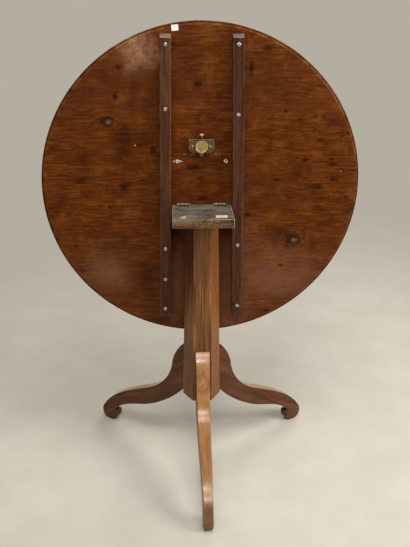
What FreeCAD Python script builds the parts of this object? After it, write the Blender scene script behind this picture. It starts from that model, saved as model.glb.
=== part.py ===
import FreeCAD, Part
import math
import os
import re

import Sketcher
from FreeCAD import Placement, Rotation, Vector

# A round tilt-top table on a six-sided column with three scroll-footed legs.
# Millimetres. The origin is on the floor under the column, +Z is up and the front leg points to -Y.
# The top is modelled raised, its underside facing the front; it comes down forwards about the hinge line.

doc = FreeCAD.newDocument("tilt_top_table")
sheet = doc.addObject("Spreadsheet::Sheet", "dims")

SIZES = [
    ("top_diameter", 800, "round top, across"),
    ("top_thickness", 20, "boards of the top"),
    ("rim_bevel_width", 8, "bevel round the underside, across its face"),
    ("rim_bevel_depth", 5, "bevel round the underside, into its thickness"),
    ("rim_ease", 2.5, "eased edge of the show face"),
    ("seam_low", -131, "lowest glue line, from the top's centre"),
    ("seam_middle", 78, "middle glue line, from the top's centre"),
    ("seam_high", 176, "highest glue line, from the top's centre"),
    ("block_width", 150, "tilt block, left to right"),
    ("block_depth", 128.5, "tilt block, front to back"),
    ("block_thickness", 22, "tilt block, up"),
    ("block_top", 710, "upper face of the tilt block above the floor"),
    ("seat_gap", 1.2, "air between the block and the underside when the top is down"),
    ("lean_gap", 0.5, "from the back of the column's foot to the plane of the raised underside"),
    ("column_top_radius", 41, "column at the block, to a corner"),
    ("column_foot_radius", 50.5, "column at its lower end, to a corner"),
    ("column_foot", 187, "lower end of the column above the floor"),
    ("tenon_diameter", 44, "round tenon of the column"),
    ("tenon_clearance", 0.1, "room round the tenon"),
    ("wedge_inset", 4, "from the tenon's edge to the ends of its wedge"),
    ("wedge_head", 4, "wedge in the tenon, at its head"),
    ("wedge_point", 1, "wedge in the tenon, at its point"),
    ("wedge_depth", 16, "wedge in the tenon, down"),
    ("leg_root_thickness", 39.5, "leg plank at the column"),
    ("leg_toe_thickness", 23, "leg plank at the toe"),
    ("leg_root_high", 334, "head of the leg's shoulder at the column"),
    ("leg_root_low", 197, "underside of the leg at the column"),
    ("shoulder_reach", 84, "foot of the rounded shoulder, out from the axis"),
    ("shoulder_height", 270, "foot of the rounded shoulder, up"),
    ("waist_reach", 96, "hollow below the shoulder, out"),
    ("waist_height", 226, "hollow below the shoulder, up"),
    ("ankle_reach", 128, "where the hollow ends, out"),
    ("ankle_height", 184, "where the hollow ends, up"),
    ("instep_reach", 205, "upper edge half way along, out"),
    ("instep_height", 140.5, "upper edge half way along, up"),
    ("arch_reach", 20, "upper edge near the toe, in from the toe's centre"),
    ("arch_height", 87.5, "upper edge near the toe, up"),
    ("sole_reach", 58, "lower edge near the toe, in from the toe's centre"),
    ("sole_height", 68, "lower edge near the toe, up"),
    ("shin_reach", 180, "lower edge half way along, out"),
    ("shin_height", 97.5, "lower edge half way along, up"),
    ("calf_reach", 106, "lower edge where it turns up, out"),
    ("calf_height", 139, "lower edge where it turns up, up"),
    ("toe_reach", 320, "centre of the rolled toe, out"),
    ("toe_radius", 27, "rolled toe"),
    ("toe_flat", 0.8, "how much of the toe is cut flat on the floor"),
    ("toe_nick", 9, "depth of the nick behind the rolled toe"),
    ("left_leg_turn", 4.9, "left leg, degrees that it was set out of its even place, backwards"),
    ("front_leg_turn", 0.7, "front leg, degrees that it was set out of its even place, to the right"),
    ("tongue_depth", 13, "leg's tongue into the column, at its head"),
    ("tongue_width", 18, "leg's tongue at its inner end"),
    ("tongue_neck", 14, "leg's tongue at the corner of the column"),
    ("tongue_margin", 14, "from the tongue's ends to the ends of the leg's root"),
    ("tongue_clearance", 0.1, "room round the tongue"),
    ("batten_width", 27, "batten, across"),
    ("batten_thickness", 24, "batten, out from the underside"),
    ("batten_slant", 7, "run of the slant at the batten's ends"),
    ("batten_gap", 1, "from the block's front corner to the batten when the top is down"),
    ("batten_splay", 0.8, "batten, degrees that it leans inwards on the way up"),
    ("batten_upper_margin", 15.5, "from the rim to the batten's upper end, along its outer edge"),
    ("batten_lower_margin", 37, "from the rim to the batten's lower end, along its outer edge"),
    ("end_screw", 22, "first screw from the batten's upper end, either batten"),
    ("left_second_screw", 171, "second screw of the left batten from its upper end"),
    ("right_second_screw", 185, "second screw of the right batten from its upper end"),
    ("left_low_screw", 26, "lowest screw of the left batten from its lower end"),
    ("left_fourth_screw", 110, "fourth screw of the left batten from its lower end"),
    ("left_third_screw", 194, "third screw of the left batten from its lower end"),
    ("right_low_screw", 32, "lowest screw of the right batten from its lower end"),
    ("right_third_screw", 202, "third screw of the right batten from its lower end"),
    ("screw_head", 9.5, "batten screw, across the head"),
    ("screw_shank", 4.2, "batten screw, across the shank"),
    ("screw_bite", 12, "batten screw, into the top"),
    ("small_head", 5.4, "small screw, across the head"),
    ("small_shank", 2.6, "small screw, across the shank"),
    ("small_length", 12, "small screw, overall"),
    ("slot_width", 1, "slot across a screw's head"),
    ("slot_depth", 0.8, "slot into a screw's head"),
    ("screw_clearance", 0.05, "room round a screw or a nail"),
    ("hinge_inset", 28, "from the block's side to the hinge's middle"),
    ("hinge_length", 32, "hinge, along its pin"),
    ("leaf_width", 19, "hinge leaf, from the pin's axis"),
    ("leaf_thickness", 1.6, "hinge leaf"),
    ("leaf_clearance", 0.2, "room round a leaf in its recess"),
    ("knuckle_diameter", 6, "hinge barrel"),
    ("knuckle_middle", 11, "middle knuckle, along the pin"),
    ("knuckle_gap", 0.3, "air between knuckles, along the pin"),
    ("barrel_clearance", 0.5, "room round the barrel"),
    ("pin_diameter", 3, "hinge pin"),
    ("pin_clearance", 0.05, "room round the hinge pin"),
    ("pin_ball", 4.6, "ball at the pin's end"),
    ("leaf_screw_reach", 12, "leaf's screws from the pin's axis"),
    ("leaf_screw_spacing", 18, "between a leaf's two screws"),
    ("strike_width", 44, "strike plate, across"),
    ("strike_drop", 2.4, "from the block's upper face to the strike plate"),
    ("strike_rise", 3.6, "from the block's lower face to the strike plate"),
    ("strike_arc", 36, "radius of the strike plate's curved lower edge"),
    ("strike_thickness", 1.6, "strike plate"),
    ("strike_clearance", 0.2, "room round the strike plate in its recess"),
    ("strike_screw_spacing", 32, "between the strike plate's screws"),
    ("bolt_width", 9.6, "catch bolt's nose, across"),
    ("bolt_thickness", 3.2, "catch bolt's nose, flat"),
    ("bolt_offset", 8, "bolt's axis from the underside"),
    ("bolt_engagement", 6, "bolt's nose inside the block when the top is down"),
    ("bolt_bevel", 2.2, "bevel of the bolt's nose"),
    ("bolt_clearance", 0.5, "room round the bolt"),
    ("collar_width", 14, "bolt's collar, across"),
    ("collar_thickness", 3, "bolt's collar, along the bolt"),
    ("tail_diameter", 4, "bolt's tail"),
    ("tail_past_case", 14, "bolt's tail beyond the case"),
    ("knob_diameter", 10.5, "pull knob"),
    ("knob_neck", 6.4, "pull knob at its neck"),
    ("knob_crown", 6.4, "flat crown of the pull knob"),
    ("knob_height", 5.2, "pull knob, along the bolt"),
    ("knob_socket", 3.2, "tail inside the knob"),
    ("plate_width", 63, "catch plate, across"),
    ("plate_height", 33, "catch plate, along the bolt"),
    ("plate_thickness", 2, "catch plate"),
    ("plate_round", 12, "rounded lower corners of the catch plate"),
    ("plate_gap", 3.8, "from the block to the catch plate when the top is down"),
    ("plate_screw_spacing", 43.5, "between the catch plate's screws"),
    ("case_diameter", 31, "catch case"),
    ("case_wall", 1.6, "catch case, side wall"),
    ("case_front", 1.6, "catch case, front wall"),
    ("case_room", 0.6, "air between the spring and the case's front wall"),
    ("case_rim_width", 3, "raised rim of the case"),
    ("case_rim_height", 1, "raised rim of the case, above its front"),
    ("spring_wire", 0.9, "catch spring's wire"),
    ("spring_turns", 7, "catch spring, turns"),
    ("spring_room", 0.7, "air between the spring and the bolt's tail"),
    ("spring_clearance", 0.3, "air at the spring's ends"),
    ("tack_diameter", 11, "buffer tack's head"),
    ("tack_height", 1, "buffer tack's head, out from the underside"),
    ("tack_shank", 2, "buffer tack's nail"),
    ("tack_length", 11, "buffer tack's nail, into the top"),
    ("tack_inset_front", 18, "buffer tacks from the block's front when the top is down"),
    ("tack_inset_side", 14.5, "buffer tacks from the block's sides"),
]
for row, (alias, value, note) in enumerate(SIZES, 1):
    sheet.set(f"A{row}", alias)
    sheet.set(f"B{row}", str(value))
    sheet.setAlias(f"B{row}", alias)
    sheet.set(f"C{row}", note)
doc.recompute()
ALIASES = {alias for alias, value, note in SIZES}

# Rules for places and sizes that several pieces share; a rule names the sheet's sizes
UNDERSIDE = "(column_foot_radius * sqrt(3) / 2 + lean_gap)"
BLOCK_BACK = f"({UNDERSIDE} - seat_gap)"
BLOCK_FRONT = f"({BLOCK_BACK} - block_depth)"
BLOCK_LOW = "(block_top - block_thickness)"
HINGE_Y = f"({UNDERSIDE} - seat_gap / 2)"
HINGE_Z = "(block_top + seat_gap / 2)"
CENTRE_Z = f"({HINGE_Z} + {HINGE_Y})"
# Height on the raised underside of the line that meets the block's front when the top is down
FRONT_RISE = f"({HINGE_Z} + {HINGE_Y} - {BLOCK_FRONT})"
# A cutter reaches this far past the face it opens
PAST = "top_thickness"

UPRIGHT = Rotation()
ALONG_X = Rotation(Vector(0, 1, 0), 90)
ALONG_Y = Rotation(Vector(1, 0, 0), -90)
TOWARDS_FRONT = Rotation(Vector(1, 0, 0), 90)

parts = {}


def number(rule):
    """The value of a rule."""
    return float(sheet.evalExpression(rule))


def tie(item, prop, rule):
    """Bind a property to a rule."""
    item.setExpression(prop, re.sub("[a-z_]+", lambda word: named(word.group()), rule))


def named(word):
    return f"dims.{word}" if word in ALIASES else word


def place(item, at, turn=UPRIGHT):
    """Bind an object's place to rules for x, y and z."""
    item.Placement = Placement(Vector(), turn)
    for axis, rule in zip("xyz", at):
        tie(item, f"Placement.Base.{axis}", rule)
    return item


def solid(kind, name, at, turn=UPRIGHT, **rules):
    """A Part primitive whose sizes and place are rules."""
    item = doc.addObject("Part::" + kind, name)
    for prop, rule in rules.items():
        tie(item, prop, rule)
    return place(item, at, turn)


def box(name, low, size):
    return solid("Box", name, low, Length=size[0], Width=size[1], Height=size[2])


def rod(name, at, radius, length, turn=UPRIGHT):
    return solid("Cylinder", name, at, turn, Radius=radius, Height=length)


def cone(name, at, radius_low, radius_high, length, turn=UPRIGHT):
    return solid("Cone", name, at, turn, Radius1=radius_low, Radius2=radius_high, Height=length)


def tapered_bar(name, at, width, depth, low, high, turn=UPRIGHT):
    """A bar of one width whose height changes from the rules in low, at its front, to those in high."""
    return solid("Wedge", name, at, turn, Xmin="0", Xmax=width, X2min="0", X2max=width, Ymin="0", Ymax=depth,
                 Zmin=low[0], Zmax=low[1], Z2min=high[0], Z2max=high[1])


def fuse(name, items):
    item = doc.addObject("Part::MultiFuse", name)
    item.Shapes = items
    return item


def cut(name, base, tools):
    item = doc.addObject("Part::Cut", name)
    item.Base = base
    item.Tool = tools[0] if len(tools) == 1 else fuse(name + "_cutters", tools)
    return item


def common(name, first, second):
    item = doc.addObject("Part::Common", name)
    item.Base = first
    item.Tool = second
    return item


def shaped(name, shape):
    """An object for a shape made with Part's own functions."""
    item = doc.addObject("Part::Feature", name)
    item.Shape = shape
    item.Placement = shape.Placement
    return item


def keep(node, item):
    """Name a finished piece."""
    item.Label = node
    parts[node] = item


# Screws and the holes they sit in
def screw_master(name, head, shank, length):
    """A slotted countersunk screw, its head's face at z = 0 and its point down, and its hole."""
    sink = f"(({head} - {shank}) / 2)"
    thin, wide = f"{shank} / 2", f"{head} / 2"
    head_cone = cone(name + "_head", ("0", "0", f"-{sink}"), thin, wide, sink)
    stem = rod(name + "_stem", ("0", "0", f"{shank} - {length}"), thin, f"{length} - {shank} - {sink}")
    tip = cone(name + "_tip", ("0", "0", f"-{length}"), "0", thin, shank)
    slot = box(name + "_slot", (f"-{head}", "-slot_width / 2", "-slot_depth"),
               (f"2 * {head}", "slot_width", "2 * slot_depth"))
    screw = cut(name, fuse(name + "_blank", [head_cone, stem, tip]), [slot])
    room = "screw_clearance"
    hole = fuse(name + "_hole", [
        cone(name + "_hole_head", ("0", "0", f"-{sink} - {room}"), f"{thin} + {room}",
             f"{wide} + {room}", sink),
        rod(name + "_hole_mouth", ("0", "0", f"-{room}"), f"{wide} + {room}", head),
        rod(name + "_hole_stem", ("0", "0", f"-{length} - {room}"), f"{thin} + {room}", length)])
    return screw, hole


BATTEN_SCREW_LENGTH = "(batten_thickness + screw_bite)"
batten_screw, batten_hole = screw_master("batten_screw", "screw_head", "screw_shank", BATTEN_SCREW_LENGTH)
small_screw, small_hole = screw_master("small_screw", "small_head", "small_shank", "small_length")
doc.recompute()

# The slots of hand-driven screws stop at different angles
SLOT_STEP = 37


def copies(name, master, spots, turn=TOWARDS_FRONT):
    """A group of one master's copies at rules for x, y and z, each turned further about its own axis."""
    shapes = []
    for count, spot in enumerate(spots, 1):
        own_turn = turn.multiply(Rotation(Vector(0, 0, 1), SLOT_STEP * count))
        spot_place = Placement(Vector(*[number(rule) for rule in spot]), own_turn)
        copy = master.Shape.copy()
        copy.Placement = spot_place.multiply(copy.Placement)
        shapes.append(copy)
    return shaped(name, Part.makeCompound(shapes))


# Column with its tenon and the wedge that spreads it
column_outlines = []
COLUMN_ENDS = [("lower", "column_foot", "column_foot_radius"), ("upper", BLOCK_LOW, "column_top_radius")]
for end, height, radius in COLUMN_ENDS:
    outline = solid("RegularPolygon", f"column_{end}", ("0", "0", height), Circumradius=radius)
    outline.Polygon = 6
    column_outlines.append(outline)
shaft = doc.addObject("Part::Loft", "column_shaft")
shaft.Sections = column_outlines
shaft.Solid = True
shaft.Ruled = True
tenon = rod("tenon", ("0", "0", BLOCK_LOW), "tenon_diameter / 2", "block_thickness")
wedge = tapered_bar("wedge",
                    ("wedge_inset - tenon_diameter / 2", "wedge_head / 2", "block_top - wedge_depth"),
                    "tenon_diameter - 2 * wedge_inset", "wedge_depth",
                    ("(wedge_head - wedge_point) / 2", "(wedge_head + wedge_point) / 2"), ("0", "wedge_head"),
                    TOWARDS_FRONT)
keep("tenon_wedge", wedge)
doc.recompute()

# Legs: one outline in the plane of reach and height, turned to three of the column's faces
LEG_ANGLES = {"leg_front": number("front_leg_turn") - 90, "leg_right": 30,
              "leg_left": 150 - number("left_leg_turn")}
TOE_TOP_ANGLE = math.radians(43)
TOE_NICK_ANGLE = math.radians(157)


def point(reach, height):
    return Vector(reach, 0, height)


def points(names):
    """Points of the outline from the sheet's reaches and heights."""
    return [point(number(f"{name}_reach"), number(f"{name}_height")) for name in names]


def near_toe(name):
    """A point of the outline that is measured in from the toe's centre."""
    return point(number(f"toe_reach - {name}_reach"), number(f"{name}_height"))


def through(knots):
    curve = Part.BSplineCurve()
    curve.interpolate(knots)
    return curve.toShape()


def leg_outline():
    """The S-curved leg from inside the column out to its rolled toe."""
    inner = number("column_top_radius / 2")
    face = number("column_foot_radius * sqrt(3) / 2")
    high, low = number("leg_root_high"), number("leg_root_low")
    toe = point(number("toe_reach"), number("toe_radius - toe_flat"))
    roll = number("toe_radius")

    def on_toe(angle, radius):
        return toe + point(radius * math.cos(angle), radius * math.sin(angle))

    upper = points(["shoulder", "waist", "ankle", "instep"]) + [near_toe("arch"), on_toe(TOE_TOP_ANGLE, roll)]
    shoulder = upper[0]
    crown = point((face + 2 * shoulder.x) / 3, (high + shoulder.z) / 2)
    nick = on_toe(TOE_NICK_ANGLE, roll - number("toe_nick"))
    lower = [nick, near_toe("sole")] + points(["shin", "calf"]) + [point(face, low)]
    edges = [
        Part.makeLine(point(inner, low), point(inner, high)),
        Part.makeLine(point(inner, high), point(face, high)),
        Part.Arc(point(face, high), crown, shoulder).toShape(),
        through(upper),
        Part.Arc(upper[-1], on_toe(-math.pi / 2, roll), on_toe(TOE_NICK_ANGLE, roll)).toShape(),
        Part.makeLine(on_toe(TOE_NICK_ANGLE, roll), nick),
        through(lower),
        Part.makeLine(point(face, low), point(inner, low)),
    ]
    return Part.Face(Part.Wire(edges))


def prism(plan, low, high):
    """A plan of x and y pairs raised from one height to another."""
    corners = [Vector(x, y, low) for x, y in plan]
    return Part.Face(Part.makePolygon(corners + corners[:1])).extrude(Vector(0, 0, high - low))


def leg_blank():
    """The outline sawn from a plank that thins towards the toe, flat where it stands."""
    root, tip = number("leg_root_thickness / 2"), number("leg_toe_thickness / 2")
    reach = number("toe_reach + toe_radius")
    plank = leg_outline().extrude(Vector(0, 2 * root, 0))
    plank.translate(Vector(0, -root, 0))
    plan = [(0, -root), (reach, -tip), (reach, tip), (0, root)]
    return plank.common(prism(plan, 0, number("leg_root_high")))


def tongue(room, low, high):
    """The leg's dovetail tongue or, with some room round it, the column's slot."""
    rise = f"(leg_root_high - column_foot) / ({BLOCK_LOW} - column_foot)"
    corner = f"(column_foot_radius + (column_top_radius - column_foot_radius) * {rise})"
    inner = number(f"{corner} * sqrt(3) / 2 - tongue_depth") - room
    outer = number("column_foot_radius")
    wide, neck = number("tongue_width / 2") + room, number("tongue_neck / 2") + room
    return prism([(inner, -wide), (outer, -neck), (outer, neck), (inner, wide)], low, high)


def turned(shape, angle):
    shape = shape.copy()
    shape.rotate(Vector(), Vector(0, 0, 1), angle)
    return shape


slack = number("tongue_clearance")
tongue_high = number("leg_root_high - tongue_margin")
blank = leg_blank()
leg_tongue = tongue(0, number("leg_root_low + tongue_margin"), tongue_high)
leg_slot = tongue(slack, 0, tongue_high + slack)
slots = []
for node, angle in LEG_ANGLES.items():
    leg = turned(blank, angle).cut(shaft.Shape).fuse(turned(leg_tongue, angle)).removeSplitter()
    keep(node, shaped(node + "_plank", leg))
    slots.append(shaped(node + "_slot", turned(leg_slot, angle)))
keep("column", cut("column_cut", fuse("column_blank", [shaft, tenon]), [wedge] + slots))

# Hinges: a leaf let into the block, a leaf let into the top, and a ball-ended pin
KNUCKLE = "(knuckle_diameter / 2)"
BARREL_ROOM = f"({KNUCKLE} + barrel_clearance)"
HALF_HINGE = "(hinge_length / 2)"
HALF_MIDDLE = "(knuckle_middle / 2)"
GAP_EDGE = f"({HALF_MIDDLE} + knuckle_gap)"
BALL_MIDDLE = f"({HALF_HINGE} + knuckle_gap + pin_ball / 2)"
NOTCH_LENGTH = "(hinge_length + knuckle_gap + pin_ball + 2 * barrel_clearance)"


def hinge(name, middle):
    """One hinge about its middle; gives the cutters and the screws' places for the block and for the top."""
    low_x = f"{middle} - {HALF_HINGE}"

    def run(label, start, end, radius):
        """A round length of the barrel, from start to end beside the middle."""
        at = (f"{middle} + {start}", HINGE_Y, HINGE_Z)
        return rod(f"{name}_{label}", at, radius, f"{end} - ({start})", ALONG_X)

    def leaf(label, plate, clear, knuckles, holes):
        """A plate cleared for the other leaf's knuckles, with its own knuckles, bore and screw holes."""
        trimmed = cut(f"{name}_{label}_trimmed", plate, clear)
        blank = fuse(f"{name}_{label}_blank", [trimmed] + knuckles)
        bore = run(f"{label}_bore", f"-{HALF_HINGE}", HALF_HINGE, "pin_diameter / 2 + pin_clearance")
        keep(f"{name}_{label}_leaf", cut(f"{name}_{label}_cut", blank, [bore, holes]))

    screw_x = [f"{middle} {sign} leaf_screw_spacing / 2" for sign in "-+"]
    block_spots = [(x, f"{HINGE_Y} - leaf_screw_reach", "block_top") for x in screw_x]
    top_spots = [(x, UNDERSIDE, f"{HINGE_Z} + leaf_screw_reach") for x in screw_x]
    block_holes = copies(name + "_block_holes", small_hole, block_spots, UPRIGHT)
    top_holes = copies(name + "_top_holes", small_hole, top_spots)
    leaf("block",
         box(name + "_block_plate", (low_x, f"{HINGE_Y} - leaf_width", "block_top - leaf_thickness"),
             ("hinge_length", "leaf_width", "leaf_thickness")),
         [run("middle_room", f"-{GAP_EDGE}", GAP_EDGE, BARREL_ROOM)],
         [run("left_knuckle", f"-{HALF_HINGE}", f"-{GAP_EDGE}", KNUCKLE),
          run("right_knuckle", GAP_EDGE, HALF_HINGE, KNUCKLE)], block_holes)
    leaf("top",
         box(name + "_top_plate", (low_x, UNDERSIDE, HINGE_Z),
             ("hinge_length", "leaf_thickness", "leaf_width")),
         [run("left_room", f"-{HALF_HINGE} - knuckle_gap", f"-{HALF_MIDDLE}", BARREL_ROOM),
          run("right_room", HALF_MIDDLE, f"{HALF_HINGE} + knuckle_gap", BARREL_ROOM)],
         [run("middle_knuckle", f"-{HALF_MIDDLE}", HALF_MIDDLE, KNUCKLE)], top_holes)
    ball_at = (f"{middle} + {BALL_MIDDLE}", HINGE_Y, HINGE_Z)
    ball = solid("Sphere", name + "_ball", ball_at, Radius="pin_ball / 2")
    pin = run("pin_rod", f"-{HALF_HINGE}", BALL_MIDDLE, "pin_diameter / 2")
    keep(name + "_pin", fuse(name + "_pin_whole", [pin, ball]))

    notch_x = f"{low_x} - barrel_clearance"
    recess_x, recess_length = f"{low_x} - leaf_clearance", "hinge_length + 2 * leaf_clearance"
    recess_width = "leaf_width + leaf_clearance"
    block_cutters = [
        box(name + "_block_notch", (notch_x, f"{HINGE_Y} - {BARREL_ROOM}", f"{HINGE_Z} - {BARREL_ROOM}"),
            (NOTCH_LENGTH, f"2 * {BARREL_ROOM}", f"2 * {BARREL_ROOM}")),
        box(name + "_block_recess", (recess_x, f"{HINGE_Y} - ({recess_width})", "block_top - leaf_thickness"),
            (recess_length, recess_width, PAST)),
        block_holes]
    top_cutters = [
        box(name + "_top_notch", (notch_x, f"{UNDERSIDE} - {PAST}", f"{HINGE_Z} - {BARREL_ROOM}"),
            (NOTCH_LENGTH, f"{PAST} + {HINGE_Y} + {BARREL_ROOM} - {UNDERSIDE}", f"2 * {BARREL_ROOM}")),
        box(name + "_top_recess", (recess_x, f"{UNDERSIDE} - {PAST}", HINGE_Z),
            (recess_length, f"{PAST} + leaf_thickness", recess_width)),
        top_holes]
    return block_cutters, top_cutters, block_spots, top_spots


left_hinge = hinge("hinge_left", "(hinge_inset - block_width / 2)")
right_hinge = hinge("hinge_right", "(block_width / 2 - hinge_inset)")
block_cutters, top_cutters, block_leaf_spots, top_leaf_spots = [
    left + right for left, right in zip(left_hinge, right_hinge)]
keep("hinge_block_screws", copies("hinge_block_screw_set", small_screw, block_leaf_spots, UPRIGHT))
keep("hinge_top_screws", copies("hinge_top_screw_set", small_screw, top_leaf_spots))

# Strike plate in the block's front edge, and the slot the bolt goes into
BOLT_Z = "(block_top + seat_gap - bolt_offset)"
NOSE_ROOM_X = "(bolt_width + 2 * bolt_clearance)"
NOSE_ROOM_Y = "(bolt_thickness + 2 * bolt_clearance)"


def strike_outline(name, room):
    """A plate with straight sides and a curved lower edge, let into the block's front."""
    low = f"({BLOCK_LOW} + strike_rise)"
    height = f"(block_top - strike_drop - {low})"
    slab = box(name + "_slab", (f"-strike_width / 2 - {room}", BLOCK_FRONT, f"{low} - {room}"),
               (f"strike_width + 2 * {room}", "strike_thickness", f"{height} + 2 * {room}"))
    curve = rod(name + "_curve", ("0", BLOCK_FRONT, f"{low} + strike_arc"), f"strike_arc + {room}",
                "strike_thickness", ALONG_Y)
    return common(name, slab, curve)


bolt_slot = box("bolt_slot",
                (f"-{NOSE_ROOM_X} / 2", f"{BLOCK_FRONT} - {PAST}", f"{BOLT_Z} - {NOSE_ROOM_Y} / 2"),
                (NOSE_ROOM_X, f"{PAST} + bolt_engagement + 2 * bolt_clearance", NOSE_ROOM_Y))
strike_spots = [(f"{sign}strike_screw_spacing / 2", BLOCK_FRONT, BOLT_Z) for sign in ("-", "")]
strike_holes = copies("strike_holes", small_hole, strike_spots)
keep("strike_plate", cut("strike_cut", strike_outline("strike_blank", "0"), [bolt_slot, strike_holes]))
keep("strike_screws", copies("strike_screw_set", small_screw, strike_spots))

# Tilt block
block_slab = box("block_slab", ("-block_width / 2", BLOCK_FRONT, BLOCK_LOW),
                 ("block_width", "block_depth", "block_thickness"))
tenon_hole = rod("tenon_hole", ("0", "0", f"{BLOCK_LOW} - {PAST}"), "tenon_diameter / 2 + tenon_clearance",
                 f"block_thickness + 2 * {PAST}")
block_cutters += [tenon_hole, strike_outline("strike_recess", "strike_clearance"), bolt_slot, strike_holes]
keep("tilt_block", cut("block_cut", block_slab, block_cutters))

# Battens, screwed to the underside on both sides of the block
BATTEN_FRONT = f"({UNDERSIDE} - batten_thickness)"
BATTEN_INNER = "(block_width / 2 + batten_gap)"
BATTEN_OUTER = f"({BATTEN_INNER} + batten_width)"
HALF_CHORD = f"sqrt((top_diameter / 2) ^ 2 - {BATTEN_OUTER} ^ 2)"
BATTEN_HIGH = f"({CENTRE_Z} + {HALF_CHORD} - batten_upper_margin)"
BATTEN_LOW = f"({CENTRE_Z} - {HALF_CHORD} + batten_lower_margin)"
BATTEN_LENGTH = f"({BATTEN_HIGH} - {BATTEN_LOW})"


def batten_line(sign, across, height):
    """How far aside a line along a batten lies at a height, with across counted from the inner edge."""
    lean = f"({FRONT_RISE} - ({height})) * tan(batten_splay)"
    return f"{sign}({BATTEN_INNER} + {across} / cos(batten_splay) + {lean})"


def batten(side, sign, left_edge, from_upper_end, from_lower_end):
    """A batten with slanted ends and its screws; gives the screws' holes."""
    lean = Rotation(Vector(0, 1, 0), -number(f"{sign}batten_splay"))
    corner = (batten_line(sign, left_edge, BATTEN_LOW), BATTEN_FRONT, BATTEN_LOW)
    bar = tapered_bar(f"batten_{side}_bar", corner, "batten_width", "batten_thickness",
                      ("batten_slant", f"{BATTEN_LENGTH} - batten_slant"), ("0", BATTEN_LENGTH), lean)
    heights = [f"{BATTEN_HIGH} - {name}" for name in from_upper_end]
    heights += [f"{BATTEN_LOW} + {name}" for name in from_lower_end]
    spots = [(batten_line(sign, "batten_width / 2", height), BATTEN_FRONT, height) for height in heights]
    holes = copies(f"batten_{side}_holes", batten_hole, spots)
    keep(f"batten_{side}", cut(f"batten_{side}_cut", bar, [holes]))
    keep(f"batten_screws_{side}", copies(f"batten_{side}_screw_set", batten_screw, spots))
    return holes


top_cutters.append(batten("left", "-", "batten_width", ["end_screw", "left_second_screw"],
                          ["left_third_screw", "left_fourth_screw", "left_low_screw"]))
top_cutters.append(batten("right", "", "0", ["end_screw", "right_second_screw"],
                          ["right_third_screw", "right_low_screw"]))

# Spring catch: plate and case
PLATE_LOW = f"({FRONT_RISE} + plate_gap)"
PLATE_FRONT = f"({UNDERSIDE} - plate_thickness)"
CATCH_Z = f"({PLATE_LOW} + plate_height / 2)"
BOLT_Y = f"({UNDERSIDE} - bolt_offset)"
SPRING = "(tail_diameter + 2 * spring_room + 2 * spring_wire)"
CASE_RADIUS = "(case_diameter / 2)"
CASE_INSIDE = f"({CASE_RADIUS} - case_wall)"
CASE_ROOF = f"({BOLT_Y} - {SPRING} / 2 - case_room)"
CASE_FRONT = f"({CASE_ROOF} - case_front - case_rim_height)"
CASE_HEIGHT = f"({PLATE_FRONT} - {CASE_FRONT})"


def plate_body(name):
    """The catch plate as a padded sketch, square above and with its two lower corners rounded."""
    body = doc.addObject("PartDesign::Body", name)
    sketch = body.newObject("Sketcher::SketchObject", name + "_outline")
    plane = [item for item in body.Origin.OriginFeatures if item.Role == "XZ_Plane"][0]
    sketch.AttachmentSupport = [(plane, "")]
    sketch.MapMode = "FlatFace"
    half, height = number("plate_width / 2"), number("plate_height")
    corners = [Vector(-half, 0, 0), Vector(half, 0, 0), Vector(half, height, 0), Vector(-half, height, 0)]
    for start, end in zip(corners, corners[1:] + corners[:1]):
        sketch.addGeometry(Part.LineSegment(start, end))
    for line in range(4):
        sketch.addConstraint(Sketcher.Constraint("Coincident", line, 2, (line + 1) % 4, 1))
        sketch.addConstraint(Sketcher.Constraint("Vertical" if line % 2 else "Horizontal", line))
    sketch.addConstraint(Sketcher.Constraint("Symmetric", 0, 1, 0, 2, -1, 1))
    for kind, line, rule in (("DistanceX", 0, "plate_width"), ("DistanceY", 1, "plate_height")):
        index = sketch.addConstraint(Sketcher.Constraint(kind, line, 1, line, 2, number(rule)))
        tie(sketch, f"Constraints[{index}]", rule)
    pad = body.newObject("PartDesign::Pad", name + "_pad")
    pad.Profile = sketch
    tie(pad, "Length", "plate_thickness")
    doc.recompute()
    lower_corners = [f"Edge{count}" for count, edge in enumerate(pad.Shape.Edges, 1)
                     if edge.BoundBox.ZMax < 0.001 and edge.BoundBox.XLength < 0.001]
    rounded = body.newObject("PartDesign::Fillet", name + "_rounded")
    rounded.Base = (pad, lower_corners)
    tie(rounded, "Radius", "plate_round")
    return place(body, ("0", UNDERSIDE, PLATE_LOW))


catch_spots = [(f"{sign}plate_screw_spacing / 2", PLATE_FRONT, CATCH_Z) for sign in ("-", "")]
catch_holes = copies("catch_holes", small_hole, catch_spots)
top_cutters.append(catch_holes)
keep("catch_plate", cut("catch_plate_cut", plate_body("catch_plate_body"), [catch_holes]))
keep("catch_screws", copies("catch_screw_set", small_screw, catch_spots))

drum = rod("drum", ("0", CASE_FRONT, CATCH_Z), CASE_RADIUS, CASE_HEIGHT, ALONG_Y)
dish = rod("dish", ("0", CASE_FRONT, CATCH_Z), f"{CASE_RADIUS} - case_rim_width", "case_rim_height", ALONG_Y)
hollow = rod("hollow", ("0", CASE_ROOF, CATCH_Z), CASE_INSIDE, CASE_HEIGHT, ALONG_Y)
nose_way = box("nose_way",
               (f"-{NOSE_ROOM_X} / 2", f"{BOLT_Y} - {NOSE_ROOM_Y} / 2", f"{CATCH_Z} - case_diameter"),
               (NOSE_ROOM_X, NOSE_ROOM_Y, "case_diameter"))
tail_way = rod("tail_way", ("0", BOLT_Y, CATCH_Z), "tail_diameter / 2 + bolt_clearance", "case_diameter")
keep("catch_case", cut("case_cut", drum, [dish, hollow, nose_way, tail_way]))

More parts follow.
